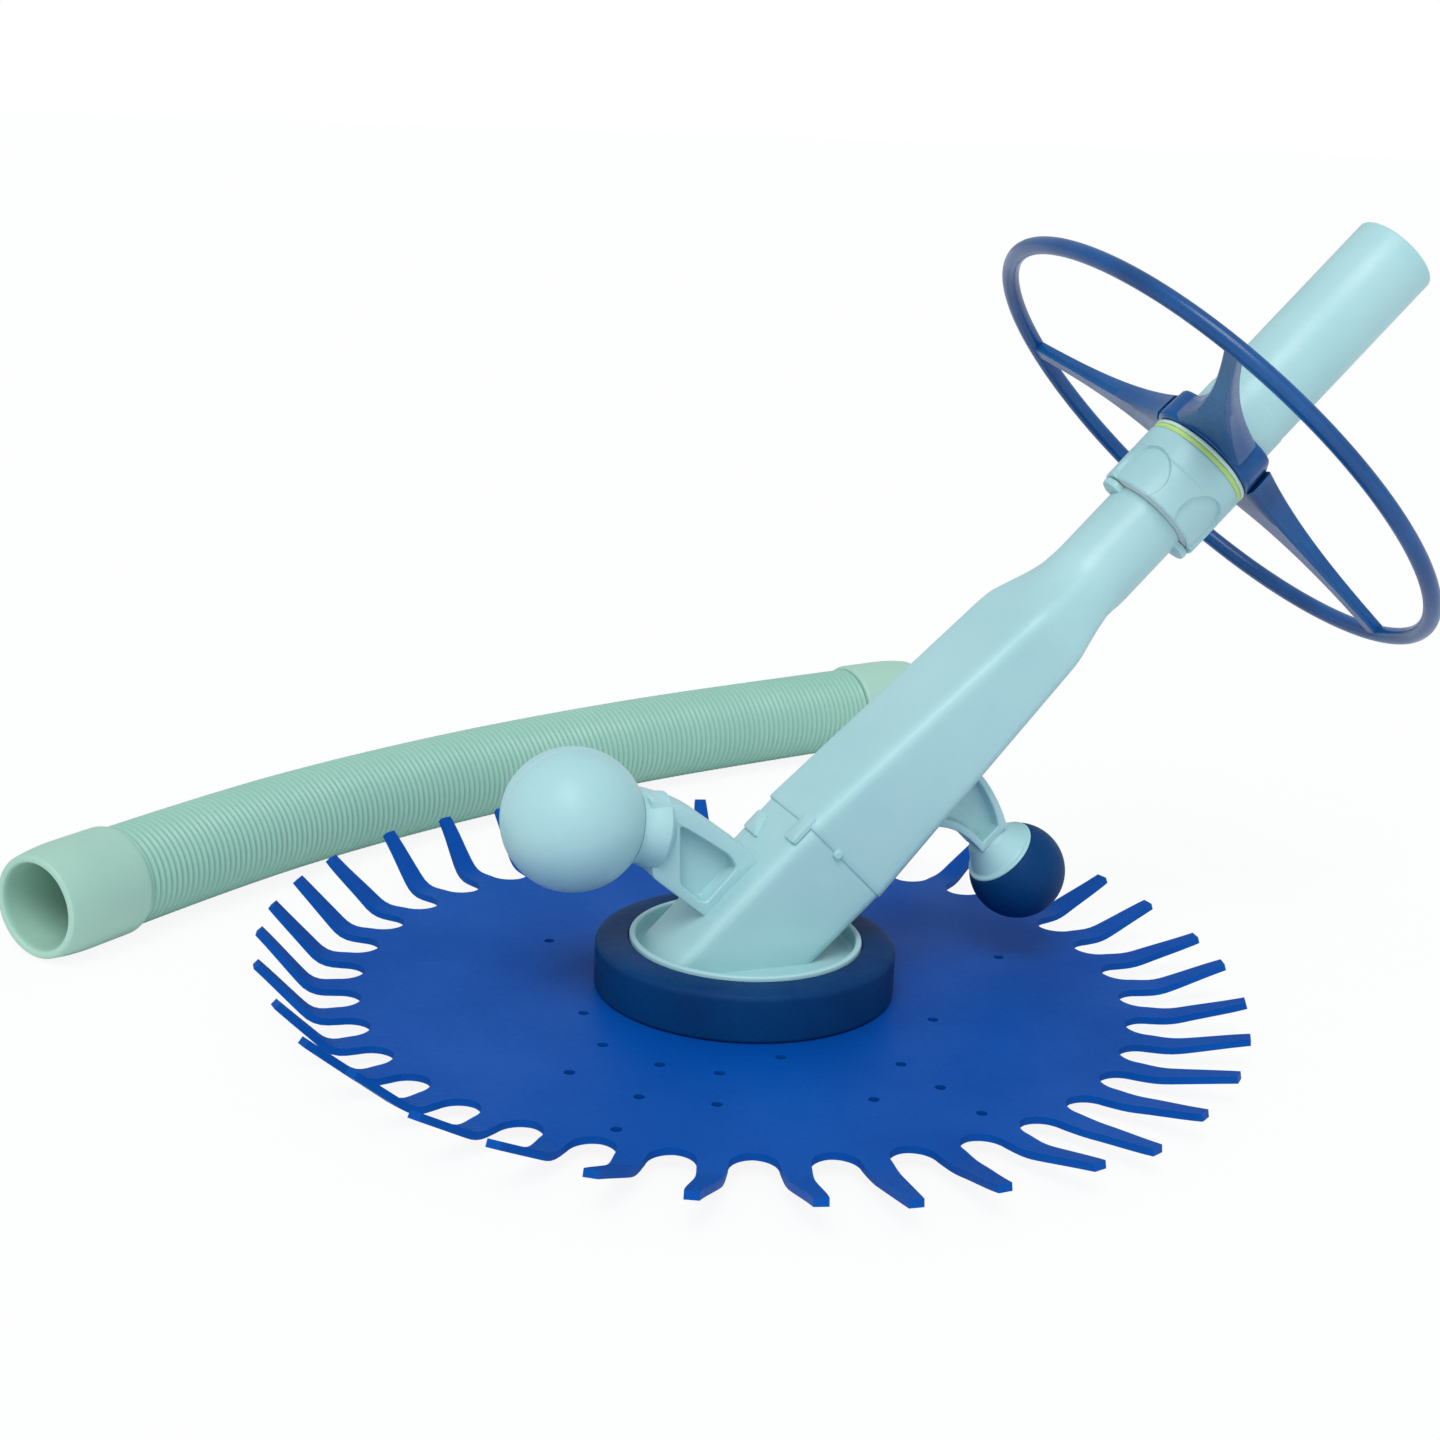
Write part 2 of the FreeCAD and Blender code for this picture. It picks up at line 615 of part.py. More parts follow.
def make_flapper():
    """Rocking valve: a hub on a cross pin, a hammer head above, a foot below."""
    half, pin = size("flapWide") / 2, Vector(-size("flapOff"), 0, size("flapAlong"))
    tip = size("flapTip") / 2
    side = Vector(0, -half, 0)
    hub = cylinder(size("flapHub"), 2 * half, pin + side, Vector(0, 1, 0))
    head = [(-0.7 * tip, 0), (0.7 * tip, 0), (0.6 * tip, 0.62), (tip, 0.8), (tip, 0.95),
            (0.4 * tip, 1), (-0.4 * tip, 1), (-tip, 0.95), (-tip, 0.8), (-0.6 * tip, 0.62)]
    tall, foot = size("flapTop"), size("flapFoot")
    points = [pin + side + Vector(x, 0, share * tall) for x, share in head]
    blade = Part.Face(Part.makePolygon(points + points[:1])).extrude(Vector(0, 2 * half, 0))
    paddle = [(-0.7 * tip, 0), (-0.4 * tip, -1), (0.4 * tip, -1), (0.7 * tip, 0)]
    points = [pin + side + Vector(x, 0, share * foot) for x, share in paddle]
    lower = Part.Face(Part.makePolygon(points + points[:1])).extrude(Vector(0, 2 * half, 0))
    bore = cylinder(size("flapPinRadius + flapClear"), 2 * half, pin + side, Vector(0, 1, 0))
    return hub.fuse(blade).fuse(lower).cut(bore)


def make_flapper_washers():
    """Two spacers on the pin between the flapper's hub and the side walls."""
    inside = size("lowWidth / 2 - lapStep - wall")
    washers = []
    for side in (-1, 1):
        base = leaning("flapAlong", "-flapOff").Base + Vector(0, side * inside, 0)
        thick = inside - size("flapWide / 2 + runGap")
        outer = cylinder(size("2 * flapPinRadius"), thick, base, Vector(0, -side, 0))
        washers.append(outer.cut(cylinder(size("flapPinRadius"), thick, base, Vector(0, -side, 0))))
    return Part.makeCompound(washers)


# Swivel, pipe and wheel ------------------------------------------------------

def make_pipe():
    """Hose pipe with a collar that the nut traps, and a shoulder that stops the hose."""
    body = new_body("Pipe")
    bore = "pipeRadius - pipeWall"
    turned(body, "PipeTube", [
        (bore, "pipeStart"), ("collarRadius", "pipeStart"),
        ("collarRadius", "pipeStart + collarThick"), ("stemRadius", "pipeStart + collarThick"),
        ("stemRadius", "stopAlong"), ("pipeRadius", "stopAlong"),
        ("pipeRadius", "pipeEnd - 1"), ("pipeRadius - 1", "pipeEnd"), (bore, "pipeEnd")])
    return lean_over(keep(body, "pipe"))


def make_nut():
    """Swivel nut with arched grips round its band."""
    top = size("nutTop")
    low = size("earsAlong + earsThick")
    nut = cylinder(size("nutHigh"), top - low, Vector(0, 0, low))
    core = cylinder(size("nutLow"), 2 * top)
    reach = size("2 * nutHigh")
    for i in range(int(size("archCount"))):
        turn = Rotation(Vector(0, 0, 1), 360 * i / size("archCount") + size("archTurn"))
        arch = cylinder(size("archRadius"), reach, Vector(0, 0, size("archAlong")), turn * Vector(1, 0, 0))
        nut = nut.cut(arch.cut(core))
    nut = nut.cut(cylinder(size("stemRadius + hubGap"), top, Vector()))
    chamber = size("nutShoulder") - low
    return nut.cut(cylinder(size("collarRadius + runGap"), chamber, Vector(0, 0, low)))


def make_wheel():
    """Bumper wheel: a round rim, three flared spokes and a lobed hub."""
    low = size("nutTop + bandThick + capThick + runGap")
    tall, ring_radius, tube = size("wheelHub"), size("wheelRing"), size("wheelTube")
    middle = low + tall / 2
    rim = Part.makeTorus(ring_radius, tube, Vector(0, 0, middle))
    hub = Part.makeCone(size("hubOuter"), size("hubOuter - 3"), tall, Vector(0, 0, low))
    wheel = rim.fuse(hub)
    for i in range(int(size("spokeCount"))):
        angle = 360 * i / size("spokeCount") + size("spokeTurn")
        wheel = wheel.fuse(spoke(low, middle, angle))
    bore = cylinder(size("stemRadius + hubGap"), 2 * tall, Vector(0, 0, low - tall / 2))
    recess_low = low + tall - size("clipThickness + 2 * runGap")
    recess = cylinder(size("stemRadius + clipRing + hubGap"), tall, Vector(0, 0, recess_low))
    return wheel.cut(bore).cut(recess)


def spoke(low, middle, angle):
    """A spoke lofted from a wide web at the hub to a narrow end in the rim."""
    stations = [
        (size("stemRadius + 2 * hubGap"), size("spokeRoot"), low, low + size("wheelHub") * 0.9),
        (size("hubOuter * 1.6"), size("spokeRoot * 0.52"), low + 1, middle + size("spokeDeep / 2")),
        (size("wheelRing"), size("spokeTip"), middle - size("wheelTube * 0.7"),
         middle + size("wheelTube * 0.7"))]
    wires = []
    for x, wide, bottom, top in stations:
        corners = [Vector(x, -wide / 2, bottom), Vector(x, wide / 2, bottom),
                   Vector(x, wide / 2, top), Vector(x, -wide / 2, top)]
        wires.append(Part.makePolygon(corners + corners[:1]))
    solid = Part.makeLoft(wires, True, True)
    solid.rotate(Vector(), Vector(0, 0, 1), angle)
    return solid


def lean_rings():
    """Plain rings of the swivel: washers, bearing ring, cap and wheel clip."""
    seat, bore = "earsAlong + earsThick", "stemRadius + hubGap"
    slip = "pipeStart + collarThick + runGap"
    cap = "nutTop + bandThick"
    clip = f"{cap} + capThick + wheelHub - clipThickness"
    rings = [
        ("thrust_washer", "collarRadius", "spigotRadius + seatGap",
         f"pipeStart - ({seat}) - runGap", seat),
        ("slip_ring", "collarRadius + runGap", bore, f"nutShoulder - ({slip})", slip),
        ("bearing_ring", "nutHigh - 0.4", bore, "bandThick", "nutTop"),
        ("cap_washer", "nutHigh", bore, "capThick", cap),
        ("wheel_clip", "stemRadius + clipRing", "stemRadius", "clipThickness", clip),
    ]
    for label, outer, inner, height, low in rings:
        lean_over(keep(ring(label.title().replace("_", ""), outer, inner, height, low), label))


# Float -----------------------------------------------------------------------

def float_centre():
    return Vector(-size("floatBack"), 0, size("floatUp"))


def make_float_half(side):
    """Half of the hollow float, welded to the other at the middle plane."""
    centre = float_centre()
    ball = Part.makeSphere(size("floatRadius"), centre)
    ball = ball.cut(Part.makeSphere(size("floatRadius - floatWall"), centre))
    corner = centre - Vector(50, 0 if side > 0 else 50, 50)
    return ball.common(Part.makeBox(100, 50, 100, corner))


def make_float_arm():
    """Boxed bracket from the body's upper face to the float, webs sunk each side."""
    half, centre = size("armWide") / 2, float_centre()
    edge = arm_outline(FLOAT_ARM_BALL[:2], FLOAT_ARM_BODY, FLOAT_ARM_BALL[2:])
    panel = arm_outline(FLOAT_PANEL_BALL[:1], FLOAT_PANEL_BODY, FLOAT_PANEL_BALL[1:])
    arm = plane_prism(edge, -half, 2 * half)
    deep = half - size("armWeb") / 2
    for low in (-half, half - deep):
        arm = arm.cut(plane_prism(panel, low, deep))
    along = Vector(FLOAT_COLLAR[0], 0, FLOAT_COLLAR[1])
    collar = Part.makeCone(size("collarLow"), size("collarHigh"), along.Length, centre, along)
    arm = arm.fuse(collar).cut(Part.makeSphere(size("floatRadius + seatGap / 2"), centre))
    shell = lofted(low_wire(BELOW_FLOOR), low_wire(size("lowEnd")))
    return arm.cut(shell.transformGeometry(leaning().toMatrix()))


def arm_outline(before, body_end, after):
    """X and Z of an outline: points given from the float's centre, and from the body's top."""
    centre, frame = float_centre(), leaning("0", "-lowTop")
    near = [[(centre.x + x, centre.z + z) for x, z in part] for part in (before, after)]
    spots = [frame.multVec(Vector(deep, 0, along)) for deep, along in body_end]
    return near[0] + [(spot.x, spot.z) for spot in spots] + near[1]


def plane_prism(points, start, thick):
    """A slab whose outline lies in the XZ plane, from y = start."""
    corners = [Vector(x, start, z) for x, z in points]
    return Part.Face(Part.makePolygon(corners + corners[:1])).extrude(Vector(0, thick, 0))


# Weight ----------------------------------------------------------------------

def weight_frame():
    """+Z points out of the body's underside, through the weight's middle."""
    frame = leaning("weightAlong")
    return Placement(frame.Base, frame.Rotation * Rotation(Vector(0, 1, 0), 90))


def weight_shapes():
    centre, reach = Vector(0, 0, size("bootOff")), size("bootRadius")
    mouth = size("bootOff - bootOpen")
    keep_below = cylinder(2 * reach, 4 * reach, Vector(0, 0, mouth))
    inner = reach - size("bootWall")
    boot = Part.makeSphere(reach, centre).common(keep_below).cut(Part.makeSphere(inner, centre))
    rim = math.sqrt(reach ** 2 - size("bootOpen") ** 2)
    plug = math.sqrt(inner ** 2 - size("bootOpen") ** 2) - size("seatGap")
    root = size("cupRoot")
    cup = Part.makeCone(size("cupHigh"), rim, mouth - root, Vector(0, 0, root))
    cup = cup.fuse(cylinder(plug, size("plugLong"), Vector(0, 0, mouth)))
    lead_top = mouth + size("plugLong")
    lead = Part.makeSphere(inner - size("leadGap"), centre)
    lead = lead.common(cylinder(2 * reach, 4 * reach, Vector(0, 0, lead_top)))
    bolt_long = size("bootOff") - root - size("boltRadius")
    bolt = cylinder(size("boltRadius"), bolt_long, Vector(0, 0, root + size("boltRadius")))
    return {"weight_boot": boot, "weight_cup": cup.cut(bolt), "weight_lead": lead.cut(bolt),
            "weight_bolt": bolt}


def make_weight_arm():
    """Curved bracket from the body's underside to the weight's cup."""
    half = size("weightArmWide") / 2
    middle, root = size("weightAlong"), size("cupRoot")
    edge = [(8, -16), (24, -14), (32, -8.5), (41, -6.5), (root, -6.5), (root, 9),
            (42, 12.5), (30, 15.5), (8, 16.5)]
    panel = [(20, -11), (28, -7), (38, -3.5), (root - 3, -3.5), (root - 3, 6), (40, 9.5),
             (29, 12.5), (20, 13)]
    arm = plane_prism([(x, middle + z) for x, z in edge], -half, 2 * half)
    deep = half - size("armWeb") / 2
    for low in (-half, half - deep):
        arm = arm.cut(plane_prism([(x, middle + z) for x, z in panel], low, deep))
    return arm.cut(upper_shells()[0])


# Loose hose section -----------------------------------------------------------

def hose_points():
    return [Vector(x, y, size("cuffRadius")) for x, y in HOSE_ROUTE]


def hose_path():
    """Straight runs joined by tangent arcs, each as large as its runs allow."""
    points = hose_points()
    edges, start, radii = [], points[0], []
    for before, here, after in zip(points, points[1:], points[2:]):
        back, ahead = (before - here), (after - here)
        run = 0.45 * min(back.Length, ahead.Length)
        turn = math.pi - back.getAngle(ahead)
        radius = run / math.tan(turn / 2)
        back.normalize()
        ahead.normalize()
        first, last = here + back * run, here + ahead * run
        inward = (back + ahead).normalize()
        middle = here + inward * (math.hypot(radius, run) - radius)
        edges.append(Part.LineSegment(start, first).toShape())
        edges.append(Part.Arc(first, middle, last).toShape())
        start = last
        radii.append(radius)
    edges.append(Part.LineSegment(start, points[-1]).toShape())
    print("hose arc radii", [round(r) for r in radii])
    return Part.Wire(edges)


def make_hose():
    path = hose_path()
    points = hose_points()
    start = points[1] - points[0]
    section = Part.Wire(Part.makeCircle(size("hoseRadius"), points[0], start))
    tube = path.makePipeShell([section], True, True)
    bore_section = Part.Wire(Part.makeCircle(size("hoseRadius - hoseWall"), points[0], start))
    tube = tube.cut(path.makePipeShell([bore_section], True, True))
    area = math.pi * (size("hoseRadius") ** 2 - size("hoseRadius - hoseWall") ** 2)
    share = tube.Volume / (area * path.Length)
    print("hose length", round(path.Length, 1), "volume ratio", round(share, 4))
    return tube


def make_cuff(end):
    """Smooth socket moulded on one end of the hose."""
    points = hose_points()
    here, other = (points[0], points[1]) if end == 0 else (points[-1], points[-2])
    out = (here - other).normalize()
    long, soft = size("cuffLong"), size("cuffRound")
    cuff = cylinder(size("cuffRadius"), long, here, out)
    ends = [e for e in cuff.Edges if isinstance(e.Curve, Part.Circle)]
    cuff = cuff.makeFillet(soft, ends)
    return cuff.cut(cylinder(size("cuffBore"), long, here, out))


def build_all():
    make_shoe()
    make_pad()
    make_disc()
    make_foot_screws()
    feature("lower_body", make_lower_body())
    feature("upper_body", make_upper_body(), leaning())
    feature("body_screws", make_lap_screws(), leaning())
    feature("valve_seat", make_seat(), leaning())
    feature("inner_tube", make_inner_tube(), leaning())
    feature("tube_clip", make_tube_clip(), leaning())
    feature("flapper", make_flapper(), leaning())
    feature("flapper_pin", flapper_pin_shape(size("flapPinRadius"), size("lowWidth - 1")))
    feature("flapper_washers", make_flapper_washers())
    make_pipe()
    feature("swivel_nut", make_nut(), leaning())
    lean_rings()
    feature("wheel", make_wheel(), leaning())
    feature("float_near", make_float_half(-1))
    feature("float_far", make_float_half(1))
    feature("float_arm", make_float_arm())
    feature("weight_arm", make_weight_arm(), leaning())
    for label, shape in weight_shapes().items():
        feature(label, shape, weight_frame())
    feature("hose", make_hose())
    feature("hose_cuff_left", make_cuff(0))
    feature("hose_cuff_right", make_cuff(-1))


build_all()
doc.recompute()
faults = [f"{thing.Name}: {thing.State}" for thing in doc.Objects
          if "Invalid" in thing.State or "Error" in thing.State]
faults += [thing.Label for thing in pieces if thing.Shape.isNull() or not thing.Shape.isValid()]
if faults:
    raise SystemExit("failed objects: " + ", ".join(faults))
for thing in pieces:
    print(thing.Label, "solids", len(thing.Shape.Solids), "volume", round(thing.Shape.Volume))
os.makedirs("parts", exist_ok=True)
for thing in pieces:
    thing.Shape.exportStep(f"parts/{thing.Label}.step")
print(len(pieces), "pieces written")
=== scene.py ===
import json
import math

import bmesh
import bpy
import numpy as np
from mathutils import Matrix, Vector


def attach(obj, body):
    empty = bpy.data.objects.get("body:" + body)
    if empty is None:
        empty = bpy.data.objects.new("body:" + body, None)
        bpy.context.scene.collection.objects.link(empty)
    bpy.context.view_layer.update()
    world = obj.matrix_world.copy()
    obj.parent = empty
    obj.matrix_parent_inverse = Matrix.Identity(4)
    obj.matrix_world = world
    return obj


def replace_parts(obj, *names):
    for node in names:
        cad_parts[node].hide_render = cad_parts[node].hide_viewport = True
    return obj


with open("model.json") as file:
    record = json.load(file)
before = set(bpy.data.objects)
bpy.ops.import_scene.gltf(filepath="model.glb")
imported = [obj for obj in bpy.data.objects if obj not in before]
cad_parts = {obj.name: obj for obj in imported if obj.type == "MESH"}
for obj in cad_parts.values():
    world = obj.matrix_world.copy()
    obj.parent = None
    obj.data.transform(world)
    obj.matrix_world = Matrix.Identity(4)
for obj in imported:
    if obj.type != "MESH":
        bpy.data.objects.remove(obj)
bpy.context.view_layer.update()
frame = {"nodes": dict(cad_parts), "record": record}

mm = 0.001
slant = math.sqrt(0.5)
axisHeight = 29.0  # mm, where the leaning axis crosses the foot's own axis
print("frame loaded")


# Shapes

def leaning(points):
    # x = (u + w) / root 2, y = v, z = 29 + (w - u) / root 2; u looks to the underside
    u, v, w = np.moveaxis(points, -1, 0)
    return np.stack([(u + w) * slant, v, axisHeight + (w - u) * slant], axis=-1)


def leaningTurned(points, degrees):
    angle = math.radians(degrees)
    spin = np.array([[math.cos(angle), math.sin(angle), 0], [-math.sin(angle), math.cos(angle), 0],
                     [0, 0, 1]])
    return leaning(points @ spin)


def softOutline(corners, radius, steps=6):
    # each corner C becomes (1-t)^2 A + 2t(1-t) C + t^2 B, with A and B a radius away on its sides
    here = np.asarray(corners, float)
    back, ahead = np.roll(here, 1, 0) - here, np.roll(here, -1, 0) - here
    backLong = np.linalg.norm(back, axis=1)
    aheadLong = np.linalg.norm(ahead, axis=1)
    reach = np.minimum(radius, 0.48 * np.minimum(backLong, aheadLong))
    a = here + back * (reach / backLong)[:, None]
    b = here + ahead * (reach / aheadLong)[:, None]
    t = np.linspace(0, 1, steps)[None, :, None]
    curve = (1 - t) ** 2 * a[:, None] + 2 * t * (1 - t) * here[:, None] + t ** 2 * b[:, None]
    return curve.reshape(-1, 2)


def inset(corners, distance):
    # moves each corner along the bisector of its two sides, so every side moves in by distance
    here = np.asarray(corners, float)
    side = np.roll(here, -1, 0) - here
    side /= np.linalg.norm(side, axis=1)[:, None]
    normal = np.stack([-side[:, 1], side[:, 0]], axis=1)
    before = np.roll(normal, 1, 0)
    area = np.sum(here[:, 0] * np.roll(here[:, 1], -1) - np.roll(here[:, 0], -1) * here[:, 1])
    share = distance * np.sign(area) / (1 + np.sum(normal * before, axis=1))
    return here + (normal + before) * share[:, None]


def spun(profile, sides=96):
    # a profile of (r, h) turned about Z: (r cos a, r sin a, h)
    angle = np.linspace(0, 2 * np.pi, sides, endpoint=False)[None, :]
    r, h = profile[:, :1], profile[:, 1:]
    return np.stack([r * np.cos(angle), r * np.sin(angle), h + 0 * angle], axis=-1)


def towards(points, base, axis):
    # turns +Z onto the axis and moves the origin to base
    turn = np.array(Vector((0, 0, 1)).rotation_difference(Vector(axis)).to_matrix())
    return points @ turn.T + np.asarray(base, float)


def sectionRing(half, top, under, corner, arcSteps=6, sideSteps=8):
    # rounded rectangles: corner centres at (under - c, half - c) and mirrors, plus c (cos a, sin a),
    # with points spaced evenly along the flat sides between them
    half, top, under, corner = (np.atleast_1d(x).astype(float)[:, None, None]
                                for x in (half, top, under, corner))
    angle = np.linspace(0, np.pi / 2, arcSteps)[None, None, :]
    angle = angle + (np.arange(4) * np.pi / 2)[None, :, None]
    toUnder = np.array([1, 0, 0, 1])[None, :, None]
    toFar = np.array([1, 1, 0, 0])[None, :, None]
    u = np.where(toUnder, under - corner, corner - top) + corner * np.cos(angle)
    v = np.where(toFar, half - corner, corner - half) + corner * np.sin(angle)
    arcs = np.stack([u, v], axis=-1)
    last, first = arcs[:, :, -1:], np.roll(arcs[:, :, :1], -1, axis=1)
    share = np.linspace(0, 1, sideSteps + 2)[1:-1][None, None, :, None]
    ring = np.concatenate([arcs, last + (first - last) * share], axis=2)
    return ring.reshape(ring.shape[0], -1, 2)


def ease(value, low, high):
    # 3t^2 - 2t^3 between low and high
    t = np.clip((value - low) / (high - low), 0, 1)
    return t * t * (3 - 2 * t)


def gridFaces(rows, columns, wrapRows, wrapColumns, start):
    index = np.arange(rows * columns).reshape(rows, columns) + start
    if wrapColumns:
        index = np.concatenate([index, index[:, :1]], axis=1)
    if wrapRows:
        index = np.concatenate([index, index[:1]], axis=0)
    quads = [index[:-1, :-1], index[:-1, 1:], index[1:, 1:], index[1:, :-1]]
    return np.stack(quads, axis=-1).reshape(-1, 4)


def reworked(mesh, change):
    work = bmesh.new()
    work.from_mesh(mesh)
    change(work)
    work.to_mesh(mesh)
    work.free()


def turnOut(work):
    bmesh.ops.recalc_face_normals(work, faces=work.faces)


def turnUp(work):
    for face in work.faces:
        if face.normal.z < 0:
            face.normal_flip()


def shadeSmooth(mesh, sharp):
    mesh.polygons.foreach_set("use_smooth", np.ones(len(mesh.polygons), bool))
    mesh.set_sharp_from_angle(angle=math.radians(sharp))


def pieceFrom(name, surfaces, slotName, body, sharp=32.0, weld=True, attributes=None,
              finish=None):
    # One object from grids of points in mm: (points, wrapRows, wrapColumns) each
    spots, faces, start = [], [], 0
    for points, wrapRows, wrapColumns in surfaces:
        rows, columns = points.shape[:2]
        faces.append(gridFaces(rows, columns, wrapRows, wrapColumns, start))
        spots.append(points.reshape(-1, 3))
        start += rows * columns
    mesh = bpy.data.meshes.new(name)
    mesh.from_pydata((np.concatenate(spots) * mm).tolist(), [], np.concatenate(faces).tolist())
    if attributes:
        for label, values in attributes.items():
            layer = mesh.attributes.new(label, "FLOAT", "POINT")
            layer.data.foreach_set("value", np.asarray(values, np.float32).ravel())
    if weld:
        reworked(mesh, lambda work: bmesh.ops.remove_doubles(work, verts=work.verts, dist=1e-6))
        reworked(mesh, turnOut)
    piece = bpy.data.objects.new(name, mesh)
    bpy.context.scene.collection.objects.link(piece)
    shadeSmooth(mesh, sharp)
    mesh.materials.append(finishes[finish or slotFinish[slotName]])
    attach(piece, body)
    return piece


def leaningRing(profile, sides=96):
    # a closed (r, w) profile turned about the leaning axis
    return (leaning(spun(np.asarray(profile, float), sides)), True, True)


# Finishes

def shaderGroup(name, inputs, outputs):
    group = bpy.data.node_groups.new(name, "ShaderNodeTree")
    for label, kind, value in inputs:
        socket = group.interface.new_socket(label, in_out="INPUT", socket_type=kind)
        socket.default_value = value
    for label, kind in outputs:
        group.interface.new_socket(label, in_out="OUTPUT", socket_type=kind)
    return group, group.nodes.new("NodeGroupInput"), group.nodes.new("NodeGroupOutput")


def addNode(tree, kind, links=None, **values):
    node = tree.nodes.new(kind)
    for key, value in values.items():
        setattr(node, key, value)
    for socket, source in (links or {}).items():
        if hasattr(source, "is_linked"):
            tree.links.new(source, node.inputs[socket])
        else:
            node.inputs[socket].default_value = source
    return node


def mixColours(group, given, result, second, share, mask):
    mixed = addNode(group, "ShaderNodeMix", {"Factor": share.outputs[0]}, data_type="RGBA")
    group.links.new(given.outputs["Colour"], mixed.inputs[6])
    group.links.new(given.outputs[second], mixed.inputs[7])
    group.links.new(mixed.outputs[2], result.inputs["Colour"])
    group.links.new(mask.outputs[0], result.inputs["Mask"])


def makeMottle():
    # colour = mix(colour, deep, amount * smooth noise of the place), two noise sizes added
    group, given, result = shaderGroup(
        "plasticMottle",
        [("Colour", "NodeSocketColor", (1, 1, 1, 1)), ("Deep", "NodeSocketColor", (0, 0, 0, 1)),
         ("Scale", "NodeSocketFloat", 20.0), ("Amount", "NodeSocketFloat", 0.3)],
        [("Colour", "NodeSocketColor"), ("Mask", "NodeSocketFloat")])
    place = addNode(group, "ShaderNodeTexCoord")
    broad = addNode(group, "ShaderNodeTexNoise", {"Vector": place.outputs["Object"],
                    "Scale": given.outputs["Scale"], "Detail": 3.0, "Roughness": 0.55})
    finer = addNode(group, "ShaderNodeTexNoise", {"Vector": place.outputs["Object"],
                    "Scale": 420.0, "Detail": 2.0, "Roughness": 0.6})
    both = addNode(group, "ShaderNodeMath", {0: finer.outputs["Fac"], 1: 0.25,
                   2: broad.outputs["Fac"]}, operation="MULTIPLY_ADD")
    spread = addNode(group, "ShaderNodeMapRange", {"Value": both.outputs[0], "From Min": 0.45,
                     "From Max": 0.85, "To Min": 0.0, "To Max": 1.0})
    share = addNode(group, "ShaderNodeMath", {0: spread.outputs[0],
                    1: given.outputs["Amount"]}, operation="MULTIPLY")
    mixColours(group, given, result, "Deep", share, spread)
    return group


def makeGrain():
    # height = fine noise + a share of a broad swell, turned into a normal
    group, given, result = shaderGroup(
        "mouldGrain",
        [("Fine", "NodeSocketFloat", 900.0), ("Strength", "NodeSocketFloat", 0.1)],
        [("Normal", "NodeSocketVector")])
    place = addNode(group, "ShaderNodeTexCoord")
    fine = addNode(group, "ShaderNodeTexNoise", {"Vector": place.outputs["Object"],
                   "Scale": given.outputs["Fine"], "Detail": 3.0})
    swell = addNode(group, "ShaderNodeTexNoise", {"Vector": place.outputs["Object"],
                    "Scale": 38.0, "Detail": 1.0})
    height = addNode(group, "ShaderNodeMath", {0: swell.outputs["Fac"], 1: 1.5,
                     2: fine.outputs["Fac"]}, operation="MULTIPLY_ADD")
    bump = addNode(group, "ShaderNodeBump", {"Height": height.outputs[0],
                   "Strength": given.outputs["Strength"], "Distance": 0.0006})
    group.links.new(bump.outputs["Normal"], result.inputs["Normal"])
    return group


def makeEdgeRub():
    # painted highlight: colour = mix(colour, edge, amount * how sharply the surface bends outwards *
    # noise), a lighter colour on convex edges in place of light catching them
    group, given, result = shaderGroup(
        "edgeHighlight",
        [("Colour", "NodeSocketColor", (1, 1, 1, 1)), ("Edge", "NodeSocketColor", (1, 1, 1, 1)),
         ("Amount", "NodeSocketFloat", 0.3)],
        [("Colour", "NodeSocketColor"), ("Mask", "NodeSocketFloat")])
    shape = addNode(group, "ShaderNodeNewGeometry")
    place = addNode(group, "ShaderNodeTexCoord")
    bend = addNode(group, "ShaderNodeMapRange", {"Value": shape.outputs["Pointiness"],
                   "From Min": 0.52, "From Max": 0.62, "To Min": 0.0, "To Max": 1.0})
    patch = addNode(group, "ShaderNodeTexNoise", {"Vector": place.outputs["Object"],
                    "Scale": 120.0, "Detail": 3.0})
    litEdge = addNode(group, "ShaderNodeMath", {0: bend.outputs[0], 1: patch.outputs["Fac"]},
                   operation="MULTIPLY")
    share = addNode(group, "ShaderNodeMath", {0: litEdge.outputs[0],
                    1: given.outputs["Amount"]}, operation="MULTIPLY")
    mixColours(group, given, result, "Edge", share, share)
    return group


mottle, grain, edgeHighlight = makeMottle(), makeGrain(), makeEdgeRub()
